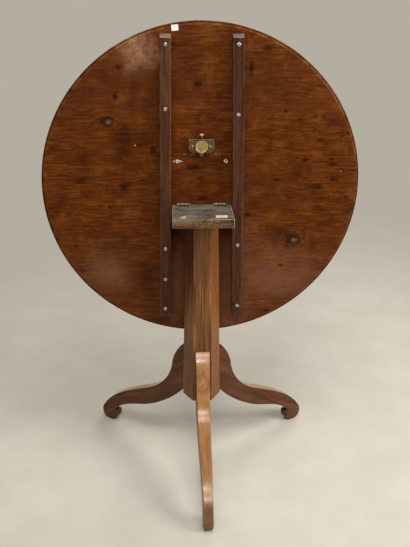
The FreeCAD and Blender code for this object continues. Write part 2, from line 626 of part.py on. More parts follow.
# Bolt, whose collar stops against the lower wall of the case, and its pull knob
NOSE_TIP = f"({FRONT_RISE} - bolt_engagement)"
COLLAR_Z = f"({CATCH_Z} - sqrt({CASE_INSIDE} ^ 2 - (collar_width / 2) ^ 2) + bolt_clearance)"
COLLAR_MIDDLE = f"({COLLAR_Z} + collar_thickness / 2)"
NOSE_LENGTH = f"({COLLAR_MIDDLE} - {NOSE_TIP})"
TAIL_END = f"({CATCH_Z} + {CASE_RADIUS} + tail_past_case)"
nose = tapered_bar("nose", ("-bolt_width / 2", f"{BOLT_Y} - bolt_thickness / 2", NOSE_TIP), "bolt_width",
                   "bolt_thickness", ("bolt_bevel", NOSE_LENGTH), ("0", NOSE_LENGTH))
collar = box("collar", ("-collar_width / 2", f"{BOLT_Y} - {SPRING} / 2", COLLAR_Z),
             ("collar_width", SPRING, "collar_thickness"))
tail = rod("tail", ("0", BOLT_Y, COLLAR_MIDDLE), "tail_diameter / 2", f"{TAIL_END} - {COLLAR_MIDDLE}")
keep("catch_bolt", fuse("bolt_whole", [nose, collar, tail]))

KNOB_LOW = f"({TAIL_END} - knob_socket)"
knob_lower = cone("knob_lower", ("0", BOLT_Y, KNOB_LOW), "knob_neck / 2", "knob_diameter / 2",
                  "knob_height / 2")
knob_upper = cone("knob_upper", ("0", BOLT_Y, f"{KNOB_LOW} + knob_height / 2"), "knob_diameter / 2",
                  "knob_crown / 2", "knob_height / 2")
knob_bore = rod("knob_bore", ("0", BOLT_Y, KNOB_LOW), "tail_diameter / 2 + pin_clearance",
                "knob_socket + pin_clearance")
keep("catch_knob", cut("knob_cut", fuse("knob_blank", [knob_lower, knob_upper]), [knob_bore]))


def coil_spring():
    """The catch spring on the bolt's tail, from the collar to the upper wall of the case."""
    wire, outside = number("spring_wire"), number(f"{SPRING} / 2")
    radius = outside - wire / 2
    ends = "(spring_clearance + spring_wire / 2)"
    low = number(f"{COLLAR_Z} + collar_thickness + {ends}")
    high = number(f"{CATCH_Z} + sqrt({CASE_INSIDE} ^ 2 - ({SPRING} / 2) ^ 2) - {ends}")
    pitch = (high - low) / number("spring_turns")
    path = Part.Wire(Part.makeLongHelix(pitch, high - low, radius))
    section = Part.Circle(Vector(radius, 0, 0), Vector(0, 2 * math.pi * radius, pitch), wire / 2)
    shell = Part.BRepOffsetAPI.MakePipeShell(path)
    shell.setFrenetMode(True)
    shell.add(Part.Wire(section.toShape()))
    shell.build()
    shell.makeSolid()
    spring = shell.shape()
    spring.translate(Vector(0, number(BOLT_Y), low))
    print("catch spring: air between turns", round(pitch - wire, 2))
    return spring


keep("catch_spring", shaped("catch_spring_coil", coil_spring()))

# Buffer tacks between the underside and the block's front corners
tack_head = rod("tack_head", ("0", "0", "0"), "tack_diameter / 2", "tack_height")
tack_nail = rod("tack_nail", ("0", "0", "-tack_length"), "tack_shank / 2", "tack_length + tack_height")
tack = fuse("tack", [tack_head, tack_nail])
tack_hole = rod("tack_hole", ("0", "0", "-tack_length - screw_clearance"), "tack_shank / 2 + screw_clearance",
                f"tack_length + screw_clearance + {PAST}")
doc.recompute()
tack_spots = [(f"{sign}(block_width / 2 - tack_inset_side)", UNDERSIDE, f"{FRONT_RISE} - tack_inset_front")
              for sign in ("-", "")]
keep("buffer_tacks", copies("tack_set", tack, tack_spots))
top_cutters.append(copies("tack_holes", tack_hole, tack_spots))

# Round top: bevelled below, eased above, and sawn into the boards it is glued from
TOP_RADIUS = "(top_diameter / 2)"
TOP_LOW, TOP_WIDE = f"(-{TOP_RADIUS} - {PAST})", f"(top_diameter + 2 * {PAST})"
EASE_Y = f"({UNDERSIDE} + top_thickness - rim_ease)"
rim = rod("rim", ("0", f"{UNDERSIDE} + rim_bevel_depth", CENTRE_Z), TOP_RADIUS,
          "top_thickness - rim_bevel_depth - rim_ease", ALONG_Y)
rim_bevel = cone("rim_bevel", ("0", UNDERSIDE, CENTRE_Z), f"{TOP_RADIUS} - rim_bevel_width", TOP_RADIUS,
                 "rim_bevel_depth", ALONG_Y)
rim_ease = cone("rim_edge", ("0", EASE_Y, CENTRE_Z), TOP_RADIUS, f"{TOP_RADIUS} - rim_ease", "rim_ease",
                ALONG_Y)
disc = cut("disc_cut", fuse("disc", [rim, rim_bevel, rim_ease]), top_cutters)
BOARD_EDGES = [TOP_LOW, "seam_low", "seam_middle", "seam_high", f"({TOP_RADIUS} + {PAST})"]
for count, (low, high) in enumerate(zip(BOARD_EDGES, BOARD_EDGES[1:]), 1):
    strip = box(f"board_{count}_strip", (TOP_LOW, f"{UNDERSIDE} - {PAST}", f"{CENTRE_Z} + {low}"),
                (TOP_WIDE, f"top_thickness + 2 * {PAST}", f"{high} - {low}"))
    keep(f"top_board_{count}", common(f"board_{count}", disc, strip))

doc.recompute()
for item in doc.Objects:
    if any(state in ("Invalid", "Error") for state in item.State):
        raise RuntimeError(f"{item.Name} failed: {item.State}")
for node, item in parts.items():
    if item.Shape.isNull() or not item.Shape.isValid() or not item.Shape.Solids:
        raise RuntimeError(f"{node} has no valid solid")

os.makedirs("parts", exist_ok=True)
for node, item in parts.items():
    item.Shape.exportStep(f"parts/{node}.step")
    print(f"{node}: {len(item.Shape.Solids)} solids, {item.Shape.Volume:.1f} mm3")
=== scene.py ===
# %% [markdown]
# A tilt-top table, dressed. The real one is a round top of four boards on a six-sided column with
# three scroll-footed legs, seen with its top raised. The construction is already made to size, so
# this lesson loads it as a fixed frame and only gives it edges, finishes, light and a camera.

# %% Load the frame
import math

import bmesh
import bpy
from mathutils import Matrix, Vector
from mathutils import noise as hills


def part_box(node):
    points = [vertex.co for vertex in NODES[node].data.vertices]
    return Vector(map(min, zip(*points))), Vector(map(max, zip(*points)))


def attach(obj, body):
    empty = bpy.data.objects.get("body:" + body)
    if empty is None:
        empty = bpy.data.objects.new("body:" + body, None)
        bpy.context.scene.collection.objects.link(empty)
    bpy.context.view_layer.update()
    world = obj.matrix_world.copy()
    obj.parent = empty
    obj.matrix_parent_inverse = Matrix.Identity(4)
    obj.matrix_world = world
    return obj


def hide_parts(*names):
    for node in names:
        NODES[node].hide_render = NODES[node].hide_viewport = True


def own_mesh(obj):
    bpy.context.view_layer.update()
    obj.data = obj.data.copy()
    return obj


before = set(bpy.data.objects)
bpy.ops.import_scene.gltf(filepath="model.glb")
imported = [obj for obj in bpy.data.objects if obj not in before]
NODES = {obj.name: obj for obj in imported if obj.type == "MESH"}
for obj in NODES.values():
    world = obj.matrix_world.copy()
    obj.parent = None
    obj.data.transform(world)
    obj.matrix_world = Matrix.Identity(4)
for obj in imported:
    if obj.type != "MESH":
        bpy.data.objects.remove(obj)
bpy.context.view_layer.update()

# %% [markdown]
# Finishes are built from nodes, and a small helper for each kind of node keeps a finish short enough
# to read. An input may be a plain value or the output of another node. A colour is written as it
# looks on a screen and turned into the linear value that Blender mixes.

# %% Helpers for nodes
def tone(red, green, blue):
    def linear(level):
        share = level / 255
        return share / 12.92 if share <= 0.04045 else ((share + 0.055) / 1.055) ** 2.4
    return (linear(red), linear(green), linear(blue), 1.0)


def add(tree, kind, inputs=None, **settings):
    made = tree.nodes.new(kind)
    for key, value in settings.items():
        setattr(made, key, value)
    for key, value in (inputs or {}).items():
        if isinstance(value, bpy.types.NodeSocket):
            tree.links.new(value, made.inputs[key])
        else:
            made.inputs[key].default_value = value
    return made


def maths(tree, operation, first, second=0.0):
    return add(tree, "ShaderNodeMath", {0: first, 1: second}, operation=operation).outputs[0]


def times(tree, first, second):
    return maths(tree, "MULTIPLY", first, second)


def vectors(tree, operation, first, second):
    made = add(tree, "ShaderNodeVectorMath", {0: first, 1: second}, operation=operation)
    return made.outputs[0]


def length(tree, vector):
    return add(tree, "ShaderNodeVectorMath", {0: vector}, operation="LENGTH").outputs["Value"]


def vector_of(tree, **parts):
    return add(tree, "ShaderNodeCombineXYZ", parts).outputs[0]


def part_of(tree, vector, axis):
    return add(tree, "ShaderNodeSeparateXYZ", {0: vector}).outputs[axis]


print("node helpers ready")

# %% [markdown]
# Every finish repeats the same few moves: place a noise, turn it into a colour or a mask, and mix.
# The coordinates are the piece's own, in metres, so a finish stays on its piece when a joint moves.

# %% Helpers for finishes
def mix(tree, share, first, second):
    inputs = {0: share, 6: first, 7: second}
    return add(tree, "ShaderNodeMix", inputs, data_type="RGBA").outputs[2]


def stretched(tree, where, scale, turn=(0, 0, 0)):
    inputs = {"Vector": where, "Scale": scale, "Rotation": turn}
    return add(tree, "ShaderNodeMapping", inputs).outputs[0]


def noise(tree, where, scale=1.0, detail=4.0, roughness=0.55, distortion=0.0):
    inputs = {"Vector": where, "Scale": scale, "Detail": detail, "Roughness": roughness,
              "Distortion": distortion}
    return add(tree, "ShaderNodeTexNoise", inputs).outputs[0]


def between(tree, value, low, high, start=0.0, end=1.0):
    inputs = {"Value": value, "From Min": low, "From Max": high, "To Min": start, "To Max": end}
    return add(tree, "ShaderNodeMapRange", inputs, interpolation_type="SMOOTHSTEP").outputs[0]


def ramp(tree, value, *stops):
    made = add(tree, "ShaderNodeValToRGB", {"Fac": value})
    bar = made.color_ramp
    while len(bar.elements) < len(stops):
        bar.elements.new(0.5)
    for element, (place, colour) in zip(bar.elements, stops):
        element.position = place
        element.color = colour
    return made.outputs[0]


def new_finish(name):
    material = bpy.data.materials.new(name)
    material.use_nodes = True
    tree = material.node_tree
    shader = tree.nodes["Principled BSDF"]
    where = add(tree, "ShaderNodeTexCoord").outputs["Object"]
    return material, tree, shader, where


def raised(tree, shader, height, depth, strength):
    bump = add(tree, "ShaderNodeBump", {"Height": height, "Distance": depth, "Strength": strength})
    tree.links.new(bump.outputs[0], shader.inputs["Normal"])


print("finish helpers ready")

# %% [markdown]
# Wood first. Its figure is a noise drawn out along the grain, with finer pores in the same
# direction and slow blotches of colour over both. One function makes every wood here: the grain's
# direction is a turn of the coordinates, so that x always runs along the grain. Worn edges are the
# same wood, paler, on the narrow faces that a bevel makes.

# %% A wood finish
SWAY_SCALE = 5.0
RUB_SCALE = 38.0
BLOTCH_SCALE = (5.0, 9.0, 9.0)
PORE_SCALE = (70.0, 1300.0, 1300.0)
HALF_STREAK = 0.16
GRAIN_DEPTH = 0.0004
COAT_ROUGHNESS = 0.2


def wood(name, tones, turn=(0, 0, 0), shift=(0, 0, 0), fine=60.0, drawn=16.0, sway=0.03, contrast=1.0,
         gloss=0.4, shine=0.3, coat=0.0, worn=0.0, patchy=1.0, relief=0.5, pored=0.55, extra=None):
    material, tree, shader, where = new_finish(name)
    dark, middle, light, pale = tones
    turned = {"Vector": where, "Rotation": turn, "Location": shift}
    place = add(tree, "ShaderNodeMapping", turned).outputs[0]
    bow = times(tree, noise(tree, place, SWAY_SCALE, 2.0), sway)
    grain = vectors(tree, "ADD", place, vector_of(tree, Y=bow, Z=bow))
    if extra:
        grain = extra["bend"](tree, where, grain)
    streak = noise(tree, stretched(tree, grain, (fine / drawn, fine, fine)), 1.0, 8.0, 0.62)
    half = HALF_STREAK / contrast
    colour = ramp(tree, streak, (0.5 - half, dark), (0.5, middle), (0.5 + half, light))
    blotch = noise(tree, stretched(tree, place, BLOTCH_SCALE), 1.0, 4.0, 0.6)
    blotched = between(tree, blotch, 0.4, 0.7, 0.0, 0.6)
    colour = mix(tree, blotched, colour, mix(tree, 0.4, dark, middle))
    pore = noise(tree, stretched(tree, grain, PORE_SCALE), 1.0, 2.0)
    pores = between(tree, pore, 0.56, 0.68)
    colour = mix(tree, times(tree, pores, pored), colour, dark)
    rub = noise(tree, place, RUB_SCALE, 5.0, 0.7)
    rubbed = between(tree, rub, 0.62 - 0.35 * worn, 0.8 - 0.35 * worn)
    colour = mix(tree, times(tree, rubbed, 0.18 + 0.6 * worn), colour, pale)
    rough = between(tree, rub, 0.3, 0.7, gloss - 0.07 * patchy, gloss + 0.12 * patchy)
    if extra:
        colour, rough = extra["paint"](tree, where, colour, rough)
    tree.links.new(colour, shader.inputs["Base Color"])
    tree.links.new(rough, shader.inputs["Roughness"])
    shader.inputs["Specular IOR Level"].default_value = shine
    shader.inputs["Coat Weight"].default_value = coat
    shader.inputs["Coat Roughness"].default_value = COAT_ROUGHNESS
    height = maths(tree, "SUBTRACT", times(tree, streak, 0.5), times(tree, pores, 0.6))
    raised(tree, shader, height, GRAIN_DEPTH, relief)
    return material


print("wood finish ready")

# %% [markdown]
# Each wood has four tones: the dark and the light of its streaks with a middle between them, and the
# pale tone of bare wood where it is rubbed.

# %% Tones of the woods
GRAIN_UP = (0, math.radians(90), 0)
COLUMN_TONES = (tone(74, 40, 18), tone(122, 78, 42), tone(158, 106, 60), tone(186, 142, 98))
LEG_TONES = (tone(56, 30, 14), tone(92, 55, 30), tone(116, 74, 44), tone(150, 110, 76))
# The leg tops are lighter: partly faded wood, partly a painted highlight of the light from above.
LIT_LEG_TOP_TONES = (tone(118, 74, 38), tone(158, 108, 62), tone(182, 130, 80), tone(214, 172, 128))
BATTEN_TONES = (tone(47, 26, 14), tone(76, 44, 27), tone(94, 59, 39), tone(138, 106, 84))
BATTEN_END_TONES = (tone(92, 76, 68), tone(118, 102, 94), tone(136, 120, 110), tone(168, 152, 140))
BLOCK_TONES = (tone(66, 43, 27), tone(106, 76, 52), tone(128, 97, 70), tone(180, 154, 122))
BOARD_TONES = (tone(60, 24, 3), tone(95, 46, 10), tone(120, 64, 17), tone(150, 104, 70))
SHOW_TONES = (tone(56, 20, 8), tone(104, 46, 18), tone(142, 72, 30), tone(160, 98, 56))
print("wood tones ready")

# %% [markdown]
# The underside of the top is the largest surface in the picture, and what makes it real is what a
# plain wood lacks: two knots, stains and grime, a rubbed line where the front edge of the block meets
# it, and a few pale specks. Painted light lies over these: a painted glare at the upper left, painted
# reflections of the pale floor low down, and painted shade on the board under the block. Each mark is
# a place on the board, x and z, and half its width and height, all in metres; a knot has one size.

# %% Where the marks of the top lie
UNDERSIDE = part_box("top_board_2")[0].y
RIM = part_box("top_board_2")[1].x
CENTRE_Z = (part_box("top_board_1")[0].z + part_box("top_board_4")[1].z) / 2
BLOCK_LOW, BLOCK_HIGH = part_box("tilt_block")
RUBBED_LINE = BLOCK_HIGH.z + UNDERSIDE - BLOCK_LOW.y
KNOTS = [(-0.231, 0.921, 0.017), (0.238, 0.614, 0.021)]
STAINS = [(-0.196, 1.049, 0.011, 0.006), (-0.208, 0.982, 0.008, 0.009), (-0.195, 0.757, 0.011, 0.009),
          (-0.010, 1.010, 0.012, 0.008), (-0.121, 0.850, 0.009, 0.012), (0.260, 0.824, 0.009, 0.007),
          (0.330, 0.812, 0.014, 0.006), (0.296, 0.873, 0.010, 0.005), (0.336, 0.772, 0.011, 0.006),
          (0.293, 0.755, 0.015, 0.008), (0.370, 0.726, 0.008, 0.005), (0.117, 0.681, 0.011, 0.006),
          (0.211, 0.542, 0.008, 0.005), (0.119, 1.047, 0.006, 0.020), (0.155, 1.093, 0.014, 0.005),
          (0.004, 0.727, 0.014, 0.008), (-0.020, 0.807, 0.022, 0.009), (0.189, 0.773, 0.011, 0.006)]
GRIME = [(-0.035, 1.088, 0.050, 0.060), (-0.195, 0.868, 0.035, 0.060), (0.0, 0.850, 0.065, 0.045),
         (-0.300, 0.775, 0.040, 0.018), (0.205, 0.630, 0.040, 0.030), (-0.140, 0.520, 0.040, 0.090)]
# Painted shade: dark patches on the board just under the block, on either side of the column.
PAINTED_SHADE_UNDER_BLOCK = [(-0.066, 0.640, 0.034, 0.046), (0.066, 0.645, 0.030, 0.040)]
# Painted glare: a broad pale sheen at the upper left, with a small glint above it.
PAINTED_GLARE = [(-0.146, 1.086, 0.050, 0.048), (-0.172, 1.110, 0.040, 0.024)]
# Painted reflections: pale patches where the polish would mirror the pale floor, low down and at the glare.
PAINTED_REFLECTIONS = [(-0.145, 1.080, 0.070, 0.058), (-0.245, 0.530, 0.080, 0.080),
               (-0.065, 0.500, 0.050, 0.180), (0.078, 0.500, 0.090, 0.260),
               (0.200, 0.505, 0.150, 0.110)]
RUB_TRACES = [(-0.006, RUBBED_LINE, 0.088, 0.0024)]
PALE_SMEARS = [(-0.0595, 0.8212, 0.0110, 0.0034), (-0.164, 0.862, 0.0020, 0.0017),
               (0.352, 0.793, 0.0016, 0.0016)]
print("marks:", len(STAINS + GRIME + PAINTED_SHADE_UNDER_BLOCK + PAINTED_GLARE + PAINTED_REFLECTIONS + RUB_TRACES + PALE_SMEARS))

# %% [markdown]
# A mark is a soft round mask on the board, bent by noise so that no edge is a circle. It fades from
# its core to a little past its edge: a firm core keeps its tone over most of the mark, and a soft one
# starts to fade at once.

# %% Masks with ragged edges
PAST_EDGE = 1.25
FIRM_CORE = 0.45
GLARE_CORE = 0.1
SOFT_CORE = -0.2


def round_mask(tree, where, x, z, wide, high, ragged, core=FIRM_CORE):
    offset = vectors(tree, "SUBTRACT", where, (x, 0, z))
    reach = length(tree, vectors(tree, "MULTIPLY", offset, (1 / wide, 0, 1 / high)))
    return between(tree, maths(tree, "ADD", reach, ragged), PAST_EDGE, core)


def ragged_edge(tree, where, scale, amount):
    return times(tree, maths(tree, "SUBTRACT", noise(tree, where, scale, 4.0), 0.5), amount)


def any_mark(tree, where, marks, ragged, core=FIRM_CORE):
    total = 0.0
    for mark in marks:
        total = maths(tree, "MAXIMUM", round_mask(tree, where, *mark, ragged, core), total)
    return total


print("mask helpers ready")

# %% [markdown]
# Each sort of mark is laid over the colour in turn. Dark flecks are scattered by the cells of a
# Voronoi texture, in two sorts: cells to the metre, size in a cell and strength. A knot has a dark
# ring and a paler heart, the painted glare is speckled, and the rim has a rubbed band with a thin
# line of painted shade on its arris.

# %% Flecks, knots, painted glare and the rim
FLECKS = [(24.0, 0.22, 0.8), (52.0, 0.2, 0.6)]
RUBBED_BAND = (RIM - 0.011, RIM - 0.006)
SHADED_ARRIS_BAND = (RIM - 0.0052, RIM - 0.0030)
SHADED_ARRIS_DEPTH = (UNDERSIDE + 0.005, UNDERSIDE + 0.003)


def fleck_mask(tree, where, edge):
    spread_out = times(tree, edge, 0.16)
    flecks = 0.0
    for cells, size, strength in FLECKS:
        grid = stretched(tree, where, (cells, 0.0, cells * 1.3))
        cell = add(tree, "ShaderNodeTexVoronoi", {"Vector": grid, "Scale": 1.0}).outputs["Distance"]
        thin = between(tree, noise(tree, where, cells / 4, 2.0), 0.42, 0.56, 0.0, strength)
        dot = between(tree, maths(tree, "ADD", cell, spread_out), size, 0.03)
        flecks = maths(tree, "MAXIMUM", times(tree, dot, thin), flecks)
    return flecks


def paint_knots(tree, where, colour, edge, knots):
    for x, z, size in knots:
        ring = round_mask(tree, where, x, z, size * 1.1, size * 0.95, times(tree, edge, 0.7))
        heart_x = x + 0.22 * size
        heart_z = z - 0.12 * size
        heart = round_mask(tree, where, heart_x, heart_z, size * 0.4, size * 0.36, edge)
        colour = mix(tree, times(tree, ring, 0.78), colour, tone(24, 14, 10))
        colour = mix(tree, times(tree, heart, 0.7), colour, tone(118, 92, 76))
    return colour


def paint_glare(tree, where, colour, rough, scuffs):
    # Painted glare: a speckled pale sheen at the upper left, with the finish a little rougher there.
    glare = any_mark(tree, where, scuffs, ragged_edge(tree, where, 26.0, 2.0), GLARE_CORE)
    speckle = between(tree, noise(tree, where, 75.0, 6.0, 0.7), 0.36, 0.68, 0.2, 1.0)
    worn = times(tree, glare, speckle)
    colour = mix(tree, times(tree, worn, 0.66), colour, tone(184, 142, 106))
    return colour, maths(tree, "ADD", rough, times(tree, worn, 0.15))


def paint_rubs(tree, where, colour, edge):
    speck = between(tree, noise(tree, where, 190.0, 3.0), 0.5, 0.62)
    trace = times(tree, any_mark(tree, where, RUB_TRACES, edge), speck)
    colour = mix(tree, times(tree, trace, 0.42), colour, tone(178, 142, 112))
    smear = any_mark(tree, where, PALE_SMEARS, edge)
    return mix(tree, times(tree, smear, 0.9), colour, tone(236, 214, 194))


def paint_rim(tree, where, colour):
    offset = vectors(tree, "SUBTRACT", where, (0, 0, CENTRE_Z))
    reach = length(tree, vectors(tree, "MULTIPLY", offset, (1, 0, 1)))
    patches = between(tree, noise(tree, where, 45.0, 4.0), 0.42, 0.62, 0.0, 0.36)
    rubbed = times(tree, between(tree, reach, *RUBBED_BAND), patches)
    colour = mix(tree, rubbed, colour, tone(146, 92, 52))
    # A thin line of painted shade on the arris, on the underside only.
    near_face = between(tree, part_of(tree, where, "Y"), *SHADED_ARRIS_DEPTH)
    arris = times(tree, between(tree, reach, *SHADED_ARRIS_BAND), near_face)
    return mix(tree, times(tree, arris, 0.88), colour, tone(38, 18, 10))


print("paints ready")

# %% [markdown]
# Each board takes the marks that lie on it, and its grain flows round its knots: near a knot the
# coordinates are drawn towards the knot's middle. The boards differ in haze and in where the figure
# starts, as boards from different places in a tree do. The show face behind is plain and polished.

# %% Board finishes
PAST_BOARD = 0.03


def board_marks(low, high, haze):
    def here(marks):
        return [mark for mark in marks if low - PAST_BOARD < mark[1] < high + PAST_BOARD]

    def bend(tree, where, grain):
        for x, z, size in here(KNOTS):
            push = round_mask(tree, where, x, z, size * 2.0, size * 1.5, 0.0)
            offset = vectors(tree, "SUBTRACT", where, (x, 0, z))
            inputs = {0: offset, 3: times(tree, push, -0.5)}
            pull = add(tree, "ShaderNodeVectorMath", inputs, operation="SCALE").outputs[0]
            grain = vectors(tree, "ADD", grain, pull)
        return grain

    def paint(tree, where, colour, rough):
        edge = ragged_edge(tree, stretched(tree, where, (0.7, 1.0, 1.3)), 160.0, 2.2)
        faint_edge = ragged_edge(tree, where, 12.0, 1.2)
        cloud = noise(tree, stretched(tree, where, (19.0, 20.0, 22.0)), 1.0, 8.0, 0.7, 0.3)
        colour = mix(tree, between(tree, cloud, 0.5, 0.66, 0.0, 0.6), colour, tone(58, 18, 4))
        colour = mix(tree, between(tree, cloud, 0.48, 0.34, 0.0, 0.5), colour, tone(124, 70, 16))
        colour = mix(tree, haze, colour, tone(92, 60, 48))
        # Painted reflection: paler patches low down and at the upper left glare.
        reflected = any_mark(tree, where, PAINTED_REFLECTIONS, faint_edge, SOFT_CORE)
        colour = mix(tree, times(tree, reflected, 0.4), colour, tone(138, 98, 74))
        marks = fleck_mask(tree, where, edge)
        # Stains and grime darken the board, and so does the painted shade under the block.
        for places, ragged, core, strength in ((STAINS, edge, FIRM_CORE, 0.75),
                                               (GRIME, faint_edge, SOFT_CORE, 0.5),
                                               (PAINTED_SHADE_UNDER_BLOCK, faint_edge, SOFT_CORE, 0.9)):
            spots = any_mark(tree, where, here(places), ragged, core)
            marks = maths(tree, "MAXIMUM", marks, times(tree, spots, strength))
        colour = mix(tree, marks, colour, tone(30, 12, 5))
        colour = paint_knots(tree, where, colour, edge, here(KNOTS))
        colour, rough = paint_glare(tree, where, colour, rough, here(PAINTED_GLARE))
        colour = paint_rubs(tree, where, colour, edge)
        return paint_rim(tree, where, colour), rough

    return {"bend": bend, "paint": paint}


BOARDS = [f"top_board_{number}" for number in range(1, 5)]
HAZE = dict(zip(BOARDS, (0.1, 0.03, 0.02, 0.08)))
board_finish = {}
for number, board in enumerate(BOARDS):
    low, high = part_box(board)
    marks = board_marks(low.z, high.z, HAZE[board])
    shift = (0.7 * number, 0.31 * number, 0.17 * number)
    board_finish[board] = wood(f"aged_{board}", BOARD_TONES, shift=shift, fine=190.0, drawn=9.0, sway=0.02,
                               contrast=0.85, gloss=0.45, shine=0.06, extra=marks)
SHOW_WOOD = wood("polished_show_face", SHOW_TONES, fine=42.0, drawn=12.0, sway=0.08, gloss=0.24,
                 shine=0.4, coat=0.4, patchy=0.3)
print("board finishes:", len(board_finish))

# %% [markdown]
# The old metal comes next: dull brass with brown tarnish on the catch and the strike plate, bright
# steel on the screws and dark iron on the hinges. Metals differ mainly in tone and in how the tarnish
# breaks them up, so one function with two tones and a share of tarnish makes them all.

# %% Metal finishes
TARNISH_SCALE = 220.0
PIT_SCALE = 880.0
PIT_DEPTH = 0.0001


def metal(name, clean, tarnished, share, rough):
    material, tree, shader, where = new_finish(name)
    cloud = noise(tree, where, TARNISH_SCALE, 6.0, 0.7)
    spots = noise(tree, where, PIT_SCALE, 3.0, 0.6)
    both = maths(tree, "ADD", times(tree, cloud, 0.7), times(tree, spots, 0.3))
    dirt = between(tree, both, 0.62 - 0.3 * share, 0.72 - 0.2 * share)
    tree.links.new(mix(tree, dirt, clean, tarnished), shader.inputs["Base Color"])
    tree.links.new(between(tree, cloud, 0.3, 0.7, rough, rough + 0.2), shader.inputs["Roughness"])
    tree.links.new(between(tree, dirt, 0.0, 1.0, 1.0, 0.45), shader.inputs["Metallic"])
    raised(tree, shader, spots, PIT_DEPTH, 0.4)
    return material


FACE_BRASS = metal("dull_brass", tone(196, 174, 116), tone(120, 98, 52), 0.5, 0.38)
DARK_BRASS = metal("brown_brass", tone(134, 116, 86), tone(64, 50, 34), 0.7, 0.45)
# Painted reflection: brass painted pale, for the stem of the bolt and the knob.
REFLECTION_PAINTED_BRASS = metal("reflection_painted_brass", tone(240, 222, 194), tone(196, 172, 138), 0.3, 0.55)
EDGE_BRASS = metal("rubbed_brass", tone(224, 204, 158), tone(160, 136, 88), 0.3, 0.3)
STRIKE_BRASS = metal("handled_brass", tone(132, 112, 74), tone(92, 74, 48), 0.6, 0.45)
STEEL = metal("bright_steel", tone(226, 218, 208), tone(112, 96, 84), 0.42, 0.34)
IRON = metal("dark_iron", tone(70, 60, 52), tone(44, 32, 24), 0.6, 0.45)
RUBBED_IRON = metal("rubbed_iron", tone(206, 194, 170), tone(120, 106, 88), 0.4, 0.42)
BARREL_IRON = metal("barrel_iron", tone(164, 152, 130), tone(82, 68, 54), 0.5, 0.4)
BROWN_IRON = metal("browned_iron", tone(124, 66, 28), tone(96, 48, 16), 0.6, 0.5)
SLOT_DIRT = metal("dirt_in_slots", tone(30, 24, 20), tone(18, 13, 10), 0.7, 0.7)
print("metals ready")

# %% [markdown]
# The block under the top is bare wood, grey with old dirt on its upper face where the closed top
# covers it, and rubbed pale along its front edges. The dirt is mixed in by the way a face points,
# read from the piece's own normal, so that it stays on the upper face only.

# %% The block's dirty upper face
def painted(paint):
    def same_grain(tree, where, grain):
        return grain

    return {"bend": same_grain, "paint": paint}


def pointing(tree, axis):
    return part_of(tree, add(tree, "ShaderNodeTexCoord").outputs["Normal"], axis)


def upper_dirt(tree, where, colour, rough):
    up = between(tree, pointing(tree, "Z"), 0.4, 0.8)
    smear = noise(tree, stretched(tree, where, (30.0, 60.0, 60.0)), 1.0, 6.0, 0.7, 0.6)
    dark, middle, light = tone(50, 47, 44), tone(88, 83, 77), tone(128, 121, 110)
    dirt = ramp(tree, smear, (0.3, dark), (0.5, middle), (0.72, light))
    line = noise(tree, stretched(tree, where, (14.0, 420.0, 1.0), (0, 0, 0.5)), 1.0, 3.0)
    scratch = between(tree, line, 0.66, 0.74)
    dirt = mix(tree, times(tree, scratch, 0.5), dirt, tone(170, 158, 140))
    colour = mix(tree, times(tree, up, 0.9), colour, dirt)
    return colour, maths(tree, "ADD", rough, times(tree, up, 0.12))


BLOCK_GRAIN = {"fine": 90.0, "gloss": 0.55, "shine": 0.15}
BLOCK_WOOD = wood("bare_block", BLOCK_TONES, worn=0.1, extra=painted(upper_dirt), **BLOCK_GRAIN)
BLOCK_EDGE = wood("rubbed_block_edge", BLOCK_TONES, worn=0.95, **BLOCK_GRAIN)
# Painted shade: the mortise behind the strike plate is painted almost black.
SHADED_HOLLOW = wood("painted_shade_hollow", [tone(22, 15, 10)] * 3 + [tone(40, 28, 20)], gloss=0.8, shine=0.05)
print("block finishes ready")

# %% [markdown]
# The battens are stained dark, with grain that runs up and pale rubbed end grain. The column is
# streaked along its length. Its left side has painted shade towards the top and its right side a
# painted highlight, both mixed in by the way a face points.

# %% Battens and column
BATTEN_GRAIN = {"turn": GRAIN_UP, "fine": 150.0, "sway": 0.006, "gloss": 0.46}
BATTEN_WOOD = wood("stained_batten", BATTEN_TONES, shine=0.15, **BATTEN_GRAIN)
BATTEN_EDGE = wood("rubbed_batten_edge", BATTEN_TONES, shine=0.2, worn=0.55, **BATTEN_GRAIN)
BATTEN_END = wood("rubbed_batten_end", BATTEN_END_TONES, fine=120.0, drawn=3.0, gloss=0.6, shine=0.15,
                  worn=0.2)


def painted_shade_and_light(tree, where, colour, rough):
    # Painted shade on the left side towards the top, and a painted highlight on the right side.
    aside = pointing(tree, "X")
    high_up = between(tree, part_of(tree, where, "Z"), 0.36, 0.62)
    left = times(tree, between(tree, aside, -0.4, -0.7), high_up)
    right = between(tree, aside, 0.4, 0.7)
    colour = mix(tree, times(tree, left, 0.8), colour, tone(58, 20, 8))
    return mix(tree, times(tree, right, 0.5), colour, tone(148, 90, 40)), rough


COLUMN_GRAIN = {"turn": GRAIN_UP, "fine": 340.0, "drawn": 80.0, "sway": 0.004, "gloss": 0.36, "shine": 0.25}
COLUMN_WOOD = wood("streaked_column", COLUMN_TONES, contrast=1.4, extra=painted(painted_shade_and_light),
                   **COLUMN_GRAIN)
COLUMN_EDGE = wood("rubbed_column_edge", COLUMN_TONES, worn=0.4, **COLUMN_GRAIN)
print("batten and column finishes ready")

# %% [markdown]
# Each leg was sawn from a plank so that the grain runs down its slope to the toe. The wood function
# takes that direction as a turn: first about the upright axis, to the leg's own plane, and then down.
# The sides stayed dark. The narrow upper edge is a glossy orange: partly faded and worn, partly a
# painted highlight of the light from above, and painted darker as painted shade towards the toe.

# %% Leg finishes
SLOPE = math.radians(32)
FRONT_LEG_TURN = 0.7
LEFT_LEG_TURN = 4.9
LEG_TURNS = {"leg_front": FRONT_LEG_TURN - 90, "leg_right": 30, "leg_left": 150 - LEFT_LEG_TURN}
TOE_HEIGHT = (0.085, 0.05)


